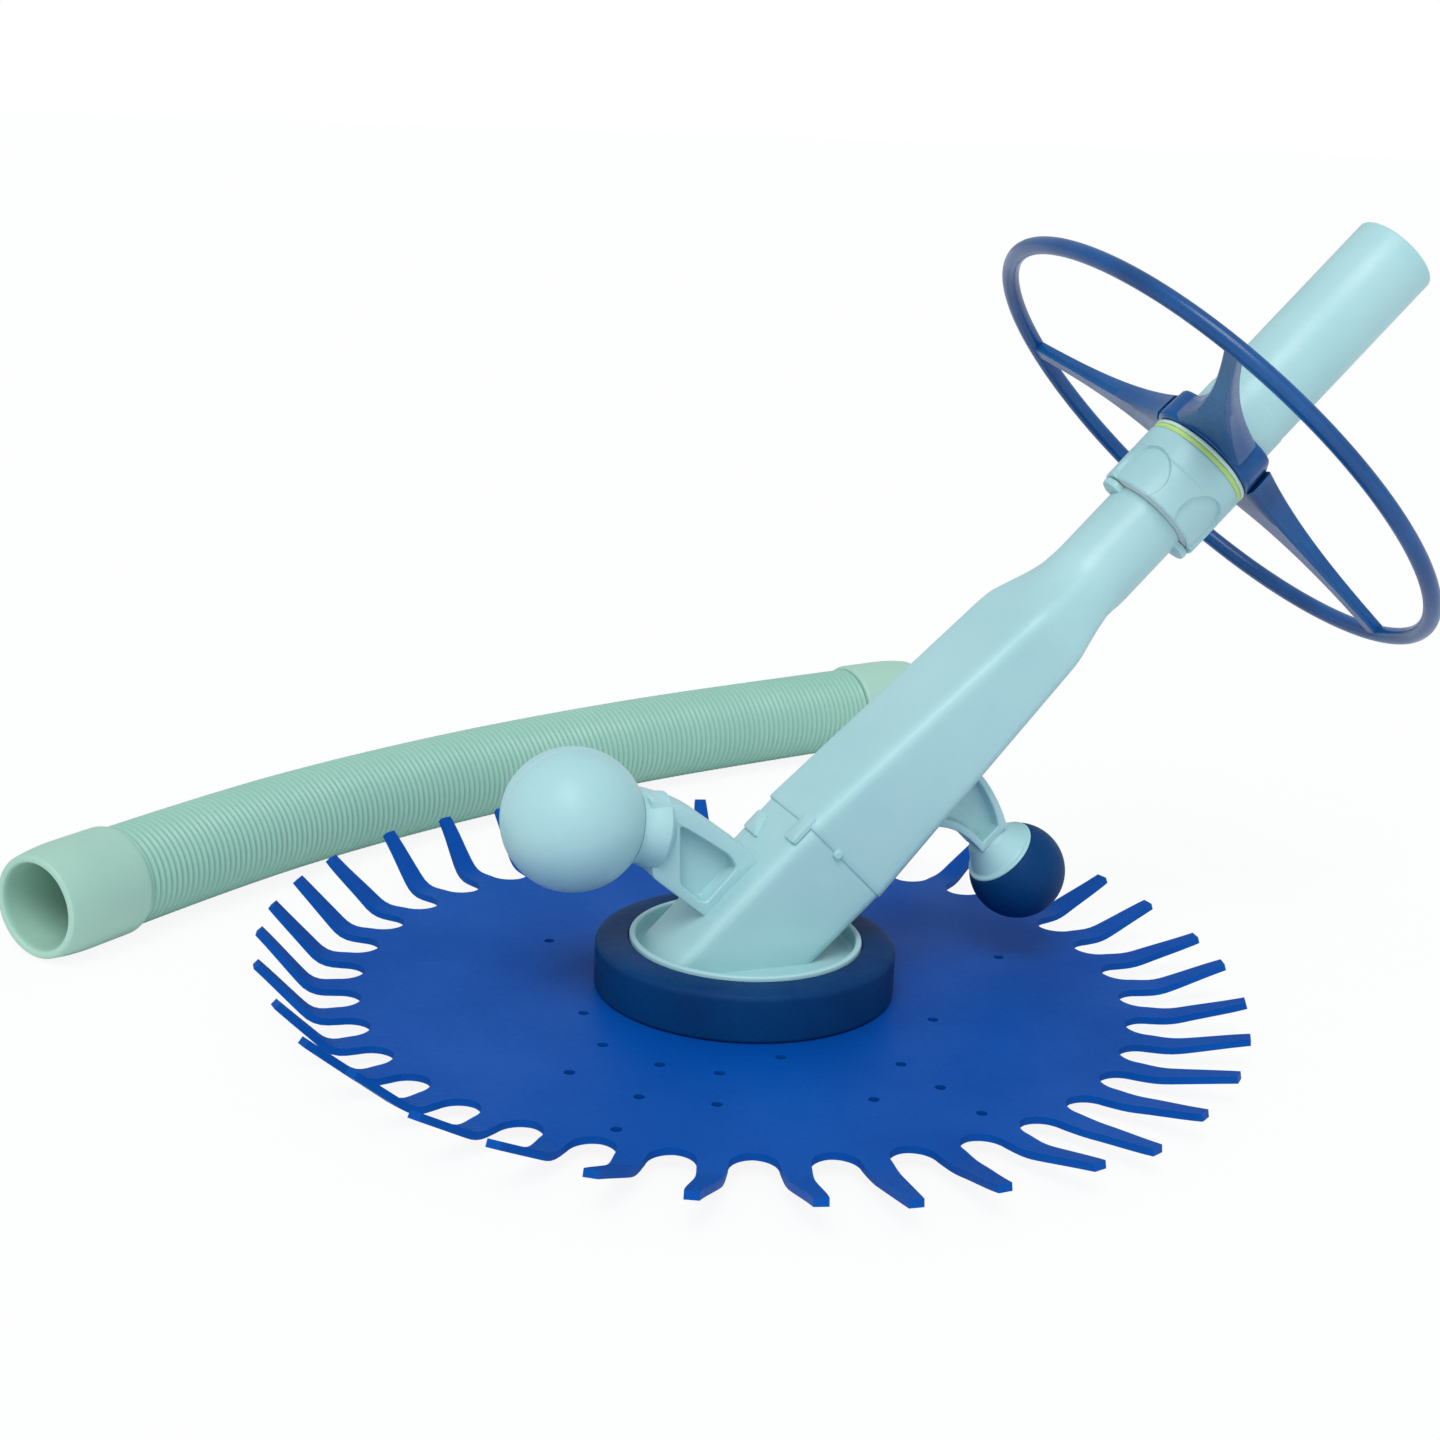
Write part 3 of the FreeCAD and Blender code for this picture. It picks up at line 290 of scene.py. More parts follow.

# colour and deep are linear; edge is a lighter colour painted on convex edges as a highlight; rough runs
# between two values with the mottle's mask
finishValues = {
    "aquaPlastic": dict(colour=(0.405, 0.665, 0.69), deep=(0.35, 0.61, 0.65), edge=(0.56, 0.83, 0.84),
                        highlightShare=0.5, size=24.0, amount=0.7, rough=(0.34, 0.46), fine=1300.0, bump=0.10),
    "blueSheet": dict(colour=(0.0, 0.078, 0.40), deep=(0.0, 0.060, 0.33), edge=(0.0, 0.12, 0.48),
                      highlightShare=0.4, size=11.0, amount=0.9, rough=(0.42, 0.58), fine=1000.0, bump=0.16,
                      shine=0.08),
    "navyRubber": dict(colour=(0.0, 0.048, 0.17), deep=(0.0, 0.026, 0.11), edge=(0.0, 0.10, 0.28),
                       highlightShare=0.6, size=18.0, amount=0.9, rough=(0.5, 0.66), fine=800.0, bump=0.2,
                       shine=0.12),
    "petrolPlastic": dict(colour=(0.0, 0.082, 0.29), deep=(0.0, 0.045, 0.18), edge=(0.01, 0.17, 0.42),
                          highlightShare=0.5, size=26.0, amount=0.9, rough=(0.24, 0.36), fine=1200.0, bump=0.08),
    "whitePlastic": dict(colour=(0.72, 0.76, 0.76), deep=(0.6, 0.66, 0.67), edge=(0.85, 0.88, 0.88),
                         highlightShare=0.4, size=26.0, amount=0.7, rough=(0.36, 0.5), fine=1200.0, bump=0.1),
    "yellowRing": dict(colour=(0.53, 0.76, 0.235), deep=(0.40, 0.66, 0.21), edge=(0.68, 0.84, 0.36),
                       highlightShare=0.4, size=60.0, amount=0.9, rough=(0.4, 0.55), fine=1200.0, bump=0.1),
    "paleRing": dict(colour=(0.60, 0.80, 0.72), deep=(0.47, 0.71, 0.64), edge=(0.76, 0.88, 0.80),
                     highlightShare=0.5, size=60.0, amount=0.8, rough=(0.36, 0.5), fine=1200.0, bump=0.08),
    "steel": dict(colour=(0.56, 0.57, 0.58), deep=(0.42, 0.43, 0.45), edge=(0.8, 0.8, 0.8),
                  highlightShare=0.3, size=90.0, amount=0.7, rough=(0.22, 0.36), fine=2000.0, bump=0.06, metal=1.0),
    "lead": dict(colour=(0.2, 0.2, 0.22), deep=(0.12, 0.12, 0.14), edge=(0.35, 0.35, 0.37),
                 highlightShare=0.4, size=40.0, amount=0.8, rough=(0.5, 0.7), fine=700.0, bump=0.2, metal=1.0),
}


def makeFinish(name, values, wave=None):
    material = bpy.data.materials.new(name)
    material.use_nodes = True
    tree = material.node_tree
    tree.nodes.clear()
    output = tree.nodes.new("ShaderNodeOutputMaterial")
    shader = tree.nodes.new("ShaderNodeBsdfPrincipled")
    tree.links.new(shader.outputs[0], output.inputs["Surface"])
    first = tree.nodes.new("ShaderNodeGroup")
    first.node_tree = mottle
    first.inputs["Colour"].default_value = (*values["colour"], 1)
    first.inputs["Deep"].default_value = (*values["deep"], 1)
    first.inputs["Scale"].default_value = values["size"]
    first.inputs["Amount"].default_value = values["amount"]
    # painted highlight: the edge colour laid over convex edges
    second = tree.nodes.new("ShaderNodeGroup")
    second.node_tree = edgeHighlight
    tree.links.new(first.outputs["Colour"], second.inputs["Colour"])
    second.inputs["Edge"].default_value = (*values["edge"], 1)
    second.inputs["Amount"].default_value = values["highlightShare"]
    last = second.outputs["Colour"]
    if wave:
        # painted shade: the colour sinks towards a deeper one in the hollows of the corrugation, where
        # shade would fall
        crest = addNode(tree, "ShaderNodeAttribute", attribute_name=wave)
        mixed = addNode(tree, "ShaderNodeMix", {"Factor": crest.outputs["Fac"]}, data_type="RGBA")
        mixed.inputs[6].default_value = (*values["hollow"], 1)
        tree.links.new(last, mixed.inputs[7])
        last = mixed.outputs[2]
    tree.links.new(last, shader.inputs["Base Color"])
    rough = addNode(tree, "ShaderNodeMapRange", {"Value": first.outputs["Mask"],
                    "To Min": values["rough"][0], "To Max": values["rough"][1]})
    tree.links.new(rough.outputs[0], shader.inputs["Roughness"])
    relief = tree.nodes.new("ShaderNodeGroup")
    relief.node_tree = grain
    relief.inputs["Fine"].default_value = values["fine"]
    relief.inputs["Strength"].default_value = values["bump"]
    tree.links.new(relief.outputs["Normal"], shader.inputs["Normal"])
    shader.inputs["Metallic"].default_value = values.get("metal", 0.0)
    shader.inputs["Specular IOR Level"].default_value = values.get("shine", 0.45)
    return material


finishes = {name: makeFinish(name, values) for name, values in finishValues.items()}
# hollow is a darker colour painted into the corrugation's hollows as shade
hoseValues = dict(colour=(0.355, 0.61, 0.505), deep=(0.285, 0.54, 0.455), edge=(0.45, 0.68, 0.58),
                  highlightShare=0.3, size=14.0, amount=0.9, rough=(0.34, 0.48), fine=1100.0, bump=0.1,
                  hollow=(0.265, 0.52, 0.43))
finishes["hoseWall"] = makeFinish("hoseWall", hoseValues, wave="crest")
finishes["hoseCuff"] = makeFinish("hoseCuff", dict(
    hoseValues, colour=(0.40, 0.64, 0.535), deep=(0.335, 0.585, 0.485), edge=(0.50, 0.72, 0.63)))
slotFinish = {"aqua_plastic": "aquaPlastic", "blue_sheet": "blueSheet", "navy_rubber": "navyRubber",
              "petrol_plastic": "petrolPlastic", "white_plastic": "whitePlastic",
              "yellow_ring": "yellowRing", "pale_ring": "paleRing", "hose_green": "hoseCuff",
              "steel": "steel", "lead": "lead"}
for part in frame["record"]["subparts"]:
    node = frame["nodes"][part["node"]]
    for place in node.material_slots:
        place.material = finishes[slotFinish[part["material_slot"]]]
print("finishes made")


# Camera

cameraData = bpy.data.cameras.new("camera")
cameraData.lens = 58.2
cameraData.sensor_width = 36.0
cameraData.clip_end = 50.0
camera = bpy.data.objects.new("camera", cameraData)
bpy.context.scene.collection.objects.link(camera)
look = {"place": (-0.3433, -0.8345, 0.3753), "right": (0.93415, -0.35441, 0.04185),
        "up": (0.05810, 0.26673, 0.96202), "forward": (0.35212, 0.89624, -0.26975)}
turn = Matrix((look["right"], look["up"], [-x for x in look["forward"]])).transposed().to_4x4()
camera.matrix_world = Matrix.Translation(look["place"]) @ turn
bpy.context.scene.camera = camera
print("camera set")


# Loose hose section

hoseShape = {
    "route": [(-237.0, 148.3), (-180.0, 192.0), (-110.0, 234.0), (-30.0, 272.0), (56.0, 303.0),
              (130.0, 323.0), (194.2, 338.5)],  # mm, centre line on the floor
    "height": 24.4, "radius": 22.1, "wave": 0.5, "wall": 1.6, "pitch": 3.3,
    "length": 0.476, "diameter": 0.0456, "perRing": 8, "around": 64,
    "cuffRadius": 24.4, "cuffMouth": 22.6, "cuffBore": 19.0, "cuffLong": 45.0,
}


def hosePath(shape):
    # Points read from the smooth line that the route's points pull
    line = bpy.data.curves.new("hoseLine", "CURVE")
    line.dimensions = "3D"
    line.resolution_u = 64
    spline = line.splines.new("NURBS")
    spline.points.add(len(shape["route"]) - 1)
    for point, (x, y) in zip(spline.points, shape["route"]):
        point.co = (x * mm, y * mm, shape["height"] * mm, 1)
    spline.order_u = 3
    spline.use_endpoint_u = True
    holder = bpy.data.objects.new("hoseLine", line)
    bpy.context.scene.collection.objects.link(holder)
    bpy.context.view_layer.update()
    mesh = bpy.data.meshes.new_from_object(holder)
    spots = np.empty(len(mesh.vertices) * 3)
    mesh.vertices.foreach_get("co", spots)
    bpy.data.objects.remove(holder)
    bpy.data.curves.remove(line)
    bpy.data.meshes.remove(mesh)
    return spots.reshape(-1, 3)


def hoseStations(path, distance):
    # place and direction at each distance along the path, both interpolated between its points
    step = np.linalg.norm(np.diff(path, axis=0), axis=1)
    along = np.concatenate([[0], np.cumsum(step)])
    ahead = np.gradient(path, along, axis=0)
    place = np.stack([np.interp(distance, along, path[:, i]) for i in range(3)], axis=1)
    ahead = np.stack([np.interp(distance, along, ahead[:, i]) for i in range(3)], axis=1)
    return place, ahead / np.linalg.norm(ahead, axis=1)[:, None], along[-1]


def tubeRows(place, ahead, radius, around):
    # p = place + r (cos a * level side + sin a * up)
    side = np.stack([ahead[:, 1], -ahead[:, 0], 0 * ahead[:, 2]], axis=1)
    angle = np.linspace(0, 2 * np.pi, around, endpoint=False)[None, :, None]
    up = np.array([0.0, 0.0, 1.0])
    swing = np.cos(angle) * side[:, None] + np.sin(angle) * up
    return place[:, None] + radius[:, None, None] * swing


def makeHose(shape):
    path = hosePath(shape) / mm
    total = hoseStations(path, np.array([0.0]))[2]
    rings = round(total / shape["pitch"])
    outAlong = np.linspace(0, total, rings * shape["perRing"] + 1)
    # r = radius + wave * (a rounded crest, narrower in the hollow)
    swing = np.cos(2 * np.pi * rings * outAlong / total + np.pi)
    crest = np.sign(swing) * np.abs(swing) ** 0.7
    inAlong = np.linspace(total, 0, rings * 2 + 1)
    outer = tubeRows(*hoseStations(path, outAlong)[:2], shape["radius"] + shape["wave"] * crest,
                     shape["around"])
    inside = shape["radius"] - shape["wave"] - shape["wall"]
    inner = tubeRows(*hoseStations(path, inAlong)[:2], np.full(len(inAlong), inside), shape["around"])
    points = np.concatenate([outer, inner])
    # the crest attribute sets the painted shade: full in the hollows, none on the crests, and mostly
    # shade inside the hose at 0.2
    height = np.concatenate([0.5 + 0.5 * crest, np.full(len(inAlong), 0.2)])
    height = np.repeat(height[:, None], shape["around"], axis=1)
    hose = pieceFrom("corrugatedHose", [(points, True, True)], "hose_green", "cleaner",
                     sharp=80.0, weld=False, attributes={"crest": height}, finish="hoseWall")
    reworked(hose.data, turnOut)
    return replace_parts(hose, "hose"), path


def makeCuff(name, shape, base, out, node):
    # a closed (r, s) profile about the hose's end direction: barrel, tapered mouth, bore
    long = shape["cuffLong"]
    profile = np.array([(shape["cuffBore"], 0.0), (shape["cuffRadius"] - 0.9, 0.0),
                        (shape["cuffRadius"], 2.2), (shape["cuffRadius"], long * 0.62),
                        (shape["cuffRadius"] - 0.5, long * 0.8), (shape["cuffMouth"], long),
                        (shape["cuffBore"] + 0.6, long), (shape["cuffBore"], long - 2.0)])
    profile = softOutline(profile, np.array([0.4, 1.0, 1.4, 9.0, 9.0, 2.2, 1.2, 1.4]), 7)
    points = towards(spun(profile, 96), (*base, shape["height"]), (*out, 0))
    cuff = pieceFrom(name, [(points, True, True)], "hose_green", "cleaner", sharp=50.0)
    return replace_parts(cuff, node)


hose, hosePoints = makeHose(hoseShape)
route = np.array(hoseShape["route"])
leftOut = (route[0] - route[1]) / np.linalg.norm(route[0] - route[1])
rightOut = (route[-1] - route[-2]) / np.linalg.norm(route[-1] - route[-2])
cuffLeft = makeCuff("hoseCuffLeft", hoseShape, route[0], leftOut, "hose_cuff_left")
cuffRight = makeCuff("hoseCuffRight", hoseShape, route[-1], rightOut, "hose_cuff_right")
print("hose made")


# Disc

discShape = {
    "hub": 50.4, "base": 6.0, "thick": 3.0, "fins": 36, "notchCentre": 171.0, "notchRadius": 9.3,
    "notchSlope": 0.157, "bendStart": 175.0, "bendEnd": 187.0, "tip": 211.0, "drain": 2.2,
    # fin rise in degrees round the disc, from +X
    "riseAt": [0, 50, 100, 140, 180, 215, 250, 290, 330, 360],
    "rise": [22, 30, 40, 46, 46, 34, 15, 9, 15, 22],
    "drains": [(74, 189), (87, 210), (115, 214), (90, 228), (120, 230), (149, 231), (90, 243),
               (118, 244), (74, 260), (118, 273), (82, 318), (96, 288), (120, 287), (145, 286),
               (93, 133), (119, 0)],  # mm from the centre, degrees
}


def discSectors(shape, flat, across):
    # The top face: every fin's sector as rows of flat distance by columns across
    fins = shape["fins"]
    centre, radius = shape["notchCentre"], shape["notchRadius"]
    # half gap of a notch: a circle up to its centre, then a slope
    inside = np.sqrt(np.clip(radius ** 2 - (flat - centre) ** 2, 0, None))
    gap = np.where(flat < centre - radius, 0, np.where(flat < centre, inside,
                   radius + shape["notchSlope"] * (flat - centre)))
    half = np.pi / fins - np.arcsin(gap / flat)
    middle = (np.arange(fins) + 0.5) * 2 * np.pi / fins
    chance = np.random.default_rng(11)
    rise = np.interp(np.degrees(middle), shape["riseAt"], shape["rise"])
    rise = np.radians(rise + chance.uniform(-3.5, 3.5, fins))
    lean = np.radians(chance.uniform(-1.2, 1.2, fins))  # a fin's own sideways set
    # slope eases from 0 to the fin's rise over the bend; r and z are its running sums
    slope = ease(flat, shape["bendStart"], shape["bendEnd"])[None, :] * rise[:, None]
    step = np.gradient(flat)[None, :]
    r = flat[0] + np.cumsum(np.cos(slope) * step, axis=1) - step[:, :1]
    z = np.cumsum(np.sin(slope) * step, axis=1)
    curl = ease(flat, shape["bendEnd"] - 10, shape["tip"])[None, :]
    angle = (middle[:, None] + lean[:, None] * curl)[:, :, None] + half[None, :, None] * across
    x, y = r[:, :, None] * np.cos(angle), r[:, :, None] * np.sin(angle)
    # the sheet isn't quite flat: a low swell that dies out at the foot
    swell = 0.55 * np.sin(3 * angle + 0.7) * ease(r, 90, 165)[:, :, None]
    height = shape["base"] + shape["thick"] + z[:, :, None] + swell
    return np.stack([x, y, height + 0 * angle], axis=-1)


def makeDisc(shape):
    fine = np.linspace(0, 1, 14) ** 2 * 9.3 + (shape["notchCentre"] - shape["notchRadius"])
    flat = np.concatenate([np.linspace(shape["hub"], 160.0, 12), fine,
                           np.linspace(173.0, shape["tip"] - 1.2, 16), [shape["tip"]]])
    across = np.linspace(-1, 1, 9)[None, None, :]
    sectors = discSectors(shape, flat, across)
    surfaces = [(sector, False, False) for sector in sectors]
    disc = pieceFrom("finnedDisc", surfaces, "blue_sheet", "disc", sharp=40)
    reworked(disc.data, turnUp)
    shell = disc.modifiers.new("thickness", "SOLIDIFY")
    shell.thickness = shape["thick"] * mm
    shell.offset = -1
    shell.use_even_offset = True
    places = np.array([(r * math.cos(math.radians(a)), r * math.sin(math.radians(a)))
                       for r, a in shape["drains"]])
    profile = np.array([(0.0, 0.0), (shape["drain"], 0.0), (shape["drain"], 20.0), (0.0, 20.0)])
    pins = [(spun(profile, 14) + np.array([x, y, 0.0]), False, True) for x, y in places]
    punch = pieceFrom("drainPins", pins, "blue_sheet", "disc")
    holes = disc.modifiers.new("drains", "BOOLEAN")
    holes.object = punch
    holes.solver = "EXACT"
    bpy.context.view_layer.update()
    whole = bpy.data.meshes.new_from_object(
        disc.evaluated_get(bpy.context.evaluated_depsgraph_get()))
    whole.name = "finnedDisc"
    disc.modifiers.clear()
    disc.data = whole
    bpy.data.objects.remove(punch)
    shadeSmooth(whole, 40)
    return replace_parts(disc, "disc")


disc = makeDisc(discShape)
print("disc made")


# Foot pad

padShape = {"bore": 23.7, "hub": 50.0, "radius": 62.0, "low": 5.7, "under": 9.3, "top": 30.0,
            "recess": 48.25, "floor": 20.0}


def makePad(shape):
    # a closed (r, z) profile turned about the foot's axis, its rim rounded over
    profile = [(shape["bore"], shape["low"]), (shape["hub"], shape["low"]),
               (shape["hub"], shape["under"]), (shape["radius"], shape["under"]),
               (shape["radius"], shape["top"] - 1.2), (shape["radius"] - 5.0, shape["top"]),
               (shape["recess"], shape["top"]), (shape["recess"], shape["floor"]),
               (shape["bore"], shape["floor"])]
    profile = softOutline(profile, np.array([0.3, 0.5, 0.4, 1.6, 4.0, 3.0, 1.0, 0.4, 0.4]), 8)
    pad = pieceFrom("footPad", [(spun(profile, 160), True, True)], "navy_rubber", "cleaner", sharp=40)
    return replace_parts(pad, "foot_pad")


pad = makePad(padShape)
print("pad made")


# Body

bodyShape = {
    "lowHalf": 20.7, "lowTop": 26.6, "lowUnder": 20.5, "lowEnd": 50.0, "tongueEnd": 66.0,
    "lowGrow": 0.10,
    "lap": 1.6, "wall": 3.0, "corner": 5.0, "startHalf": 23.5, "startTop": 27.6,
    "startUnder": 20.8, "boxEnd": 178.0, "endHalf": 24.8, "endTop": 18.4, "endUnder": 12.0,
    "taperStart": 170.0, "taperEnd": 214.0, "neck": 17.4, "neckBore": 15.0, "neckEnd": 245.0,
    "spigot": 15.9, "spigotBore": 13.5, "spigotEnd": 262.0, "dish": 48.0, "dishBore": 45.4,
    "rim": 31.5, "floor": 24.0, "dishLow": 20.3, "throat": 16.0, "throatWall": 23.5,
    "throatLow": 5.7, "ear": 23.4, "earHalf": 6.5, "earRoot": 15.5, "earLow": 241.0,
    "earHigh": 245.0, "earTurn": 158.0,
}


def lowerRows(shape, along, inward):
    ring = sectionRing(shape["lowHalf"] - inward, shape["lowTop"] - inward,
                       shape["lowUnder"] - inward, max(1.5, shape["corner"] - inward))
    rows = np.repeat(ring, len(along), axis=0)
    # the lowest row ends where the wall meets the dish's floor: w = u - (29 - floor) root 2
    share = (along - along[0]) / (along[-1] - along[0])
    rows[..., 1] *= 1 + shape["lowGrow"] * share[:, None]
    foot = rows[..., 0] - (axisHeight - shape["floor"] + 0.4) / slant
    w = foot + (along[-1] - foot) * share[:, None]
    points = leaning(np.concatenate([rows, w[..., None]], axis=-1))
    # near the dish's wall the chamber stops inside it
    reach = np.hypot(points[..., 0], points[..., 1])
    limit = shape["dish"] - 1.0
    squeeze = np.where((reach > limit) & (points[..., 2] < shape["rim"] + 0.2), limit / reach, 1.0)
    points[..., :2] *= squeeze[..., None]
    return points


def makeLowerBody(shape):
    dish = softOutline([(shape["throat"], shape["throatLow"]), (shape["throatWall"], shape["throatLow"]),
                        (shape["throatWall"], shape["dishLow"]), (shape["dish"], shape["dishLow"]),
                        (shape["dish"], shape["rim"]), (shape["dishBore"], shape["rim"]),
                        (shape["dishBore"], shape["floor"]), (shape["throat"], shape["floor"])],
                       np.array([0.5, 0.5, 1.0, 0.6, 1.1, 1.1, 2.5, 0.6]), 7)
    long = np.linspace(0, 1, 26) * shape["lowEnd"]
    outer = lowerRows(shape, long, 0.0)
    step = shape["lap"]
    ring = sectionRing(shape["lowHalf"] - step, shape["lowTop"] - step, shape["lowUnder"] - step,
                       shape["corner"] - step)
    lapAlong = np.array([shape["lowEnd"], shape["lowEnd"] + 0.6, shape["tongueEnd"]])
    lap = np.concatenate([np.repeat(ring, 3, axis=0),
                          np.repeat(lapAlong[:, None, None], ring.shape[1], axis=1)], axis=-1)
    inward = step + shape["wall"]
    innerRing = sectionRing(shape["lowHalf"] - inward, shape["lowTop"] - inward,
                            shape["lowUnder"] - inward, 1.5)
    top = np.concatenate([innerRing, np.full((1, ring.shape[1], 1), shape["tongueEnd"])], axis=-1)
    inner = lowerRows(shape, long, inward)[::-1]
    chamber = np.concatenate([outer, leaning(lap), leaning(top), inner])
    body = pieceFrom("lowerBody", [(spun(dish, 160), True, True), (chamber, True, True)],
                     "aqua_plastic", "cleaner", sharp=38)
    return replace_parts(body, "lower_body")


def upperSection(shape, along, inward, neck):
    # the box's sizes run straight from start to end; past it each point eases to the neck's circle
    share = np.clip((along - shape["lowEnd"]) / (shape["boxEnd"] - shape["lowEnd"]), 0, 1.12)
    half = shape["startHalf"] + share * (shape["endHalf"] - shape["startHalf"]) - inward
    top = shape["startTop"] + share * (shape["endTop"] - shape["startTop"]) - inward
    under = shape["startUnder"] + share * (shape["endUnder"] - shape["startUnder"]) - inward
    ring = sectionRing(half, top, under, np.full(len(along), max(1.5, shape["corner"] - inward)))
    angle = np.arctan2(ring[..., 1], ring[..., 0] + 0.25 * (top - under)[:, None])
    circle = neck * np.stack([np.cos(angle), np.sin(angle)], axis=-1)
    blend = ease(along, shape["taperStart"], shape["taperEnd"])[:, None, None]
    plain = np.clip((along - shape["boxEnd"]) / (209.0 - shape["boxEnd"]), 0, 1)[:, None, None]
    blend = 0.55 * blend + 0.45 * plain
    rows = ring * (1 - blend) + circle * blend
    w = np.repeat(along[:, None, None], ring.shape[1], axis=1)
    return np.concatenate([rows, w], axis=-1)


def makeUpperBody(shape):
    lip = shape["lowEnd"]
    along = np.concatenate([[lip, lip + 0.25, lip + 0.8], np.linspace(lip + 3, 166, 20),
                            np.linspace(170, 216, 34), np.linspace(220, shape["neckEnd"] - 0.6, 6)])
    outer = upperSection(shape, along, 0.0, shape["neck"])
    # the lip's edge is eased by half a millimetre
    outer[0, :, :2] *= 1 - 0.6 / 24
    outer[1, :, :2] *= 1 - 0.25 / 24
    shoulder = upperSection(shape, np.array([shape["neckEnd"]] * 2), 0.0, shape["neck"] - 0.6)
    shoulder[1, :, :2] *= shape["spigot"] / (shape["neck"] - 0.6)
    spigot = shoulder[[1, 1, 1]].copy()
    spigotEnd = shape["spigotEnd"]
    spigot[:, :, 2] = np.array([spigotEnd - 0.5, spigotEnd, spigotEnd])[:, None]
    spigot[1, :, :2] *= 1 - 0.5 / shape["spigot"]
    spigot[2, :, :2] *= shape["spigotBore"] / shape["spigot"]
    inAlong = np.concatenate([[shape["tongueEnd"]], np.linspace(80, 166, 6),
                              np.linspace(172, 212, 12)])[::-1]
    inner = upperSection(shape, inAlong, shape["wall"], shape["neckBore"])
    throat = inner[:1].copy()
    throat[:, :, :2] *= shape["spigotBore"] / shape["neckBore"]
    lapRing = sectionRing(shape["lowHalf"] - 1.5, shape["lowTop"] - 1.5, shape["lowUnder"] - 1.5, 3.5)
    pocketRows = np.repeat(lapRing, 2, axis=0)
    w = np.array([shape["tongueEnd"] + 0.2, lip])[:, None, None] + 0 * pocketRows[..., :1]
    pocket = np.concatenate([pocketRows, w], axis=-1)
    points = leaning(np.concatenate([outer, shoulder, spigot, throat, inner, pocket]))
    surfaces = [(points, True, True)]
    for side in (0, 180):
        surfaces.append((earRows(shape, shape["earTurn"] + side), False, True))
    body = pieceFrom("upperBody", surfaces, "aqua_plastic", "cleaner", sharp=38)
    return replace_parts(body, "upper_body")


def earRows(shape, turnDegrees):
    # a rounded lobe's outline, stacked at five heights with its edges eased in
    reach, half, root = shape["ear"], shape["earHalf"], shape["earRoot"]
    corners = [(root, -half), (reach - 3.5, -half), (reach, -2.6), (reach, 2.6),
               (reach - 3.5, half), (root, half)]
    thin = (shape["earHigh"] - shape["earLow"]) / 2
    middle = shape["earLow"] + thin
    rows = []
    for inward, lift in ((1.4, -1.0), (0.35, -0.72), (0.0, 0.0), (0.35, 0.72), (1.4, 1.0)):
        ring = softOutline(inset(corners, inward), np.array([0.4, 4, 3, 3, 4, 0.4]), 5)
        rows.append(np.concatenate([ring, np.full((len(ring), 1), middle + thin * lift)], axis=1))
    centre = rows[0].mean(axis=0)
    low = np.repeat(centre[None], len(rows[0]), axis=0)
    high = low.copy()
    low[:, 2], high[:, 2] = shape["earLow"], shape["earHigh"]
    rows = np.array([low] + rows + [high])
    return leaningTurned(rows, turnDegrees)


lowerBody = makeLowerBody(bodyShape)
upperBody = makeUpperBody(bodyShape)
print("body made")


# Small details moulded on the body

def facePad(corners, low, high, edge=0.5, soft=1.0):
    # a low pad standing on a face: its outline, the same outline eased in at the top, a middle point
    base = softOutline(corners, soft, 5)
    crown = softOutline(inset(corners, edge), soft, 5)
    rows = [np.concatenate([base, np.full((len(base), 1), low)], axis=1),
            np.concatenate([base, np.full((len(base), 1), high - edge * 0.6)], axis=1),
            np.concatenate([crown, np.full((len(base), 1), high)], axis=1)]
    middle = np.repeat(rows[2].mean(axis=0)[None], len(base), axis=0)
    foot = middle.copy()
    foot[:, 2] = low
    return np.array([foot] + rows + [middle])


def onTop(points, height):
    # (v, w, h) on the upper face, h outwards from u = -height
    v, w, h = np.moveaxis(points, -1, 0)
    return leaning(np.stack([-height - h, v, w], axis=-1))


def onNearSide(points, height):
    # (u, w, h) on the near side face, h outwards from v = -height
    u, w, h = np.moveaxis(points, -1, 0)
    return leaning(np.stack([u, -height - h, w], axis=-1))


detailShape = {
    "tab": [(-21.5, 41.0), (-12.5, 41.0), (-12.5, 54.5), (-21.5, 54.5)],
    "step": [(4.0, 33.5), (18.0, 33.5), (18.0, 43.0), (9.0, 43.0)],
    "bossAt": [(-9.4, 50.5), (2.8, 40.5)], "bossRadius": 2.0, "bossTall": 0.9,
}


def makeDetails(shape):
    tab = onTop(facePad(shape["tab"], -0.8, 1.3), bodyShape["lowTop"])
    step = onTop(facePad(shape["step"], -0.8, 1.5), bodyShape["lowTop"])
    lump = softOutline([(0.0, -0.8), (shape["bossRadius"], -0.8),
                        (shape["bossRadius"], shape["bossTall"]), (0.0, shape["bossTall"])],
                       np.array([0.01, 0.01, 0.7, 0.01]), 5)
    surfaces = [(tab, False, True), (step, False, True)]
    for u, w in shape["bossAt"]:
        boss = spun(lump, 24) + np.array([u, w, 0.0])
        surfaces.append((onNearSide(boss, 20.7 if w < 50 else 23.5), False, True))
    return pieceFrom("bodyDetails", surfaces, "aqua_plastic", "cleaner")


details = makeDetails(detailShape)
print("details made")


# Float

floatShape = {
    "centre": (-76.0, 0.0, 87.0), "radius": 29.0, "seam": 0.35, "seamWide": 0.8,
    "collar": (34.0, -7.0), "collarLow": 13.2, "collarHigh": 16.0, "armHalf": 9.5, "web": 1.6,
    "outline": [(-47, 96.5), (-30, 90.5), (-4, 71), (1.1, 65.5), (-20.8, 43.5), (-29, 50),
                (-45, 63)],
    "panel": [(-34, 84), (-27, 79.7), (-12, 69.5), (-9, 64), (-21.5, 50.5), (-24.5, 51.5),
              (-33, 59)],
}


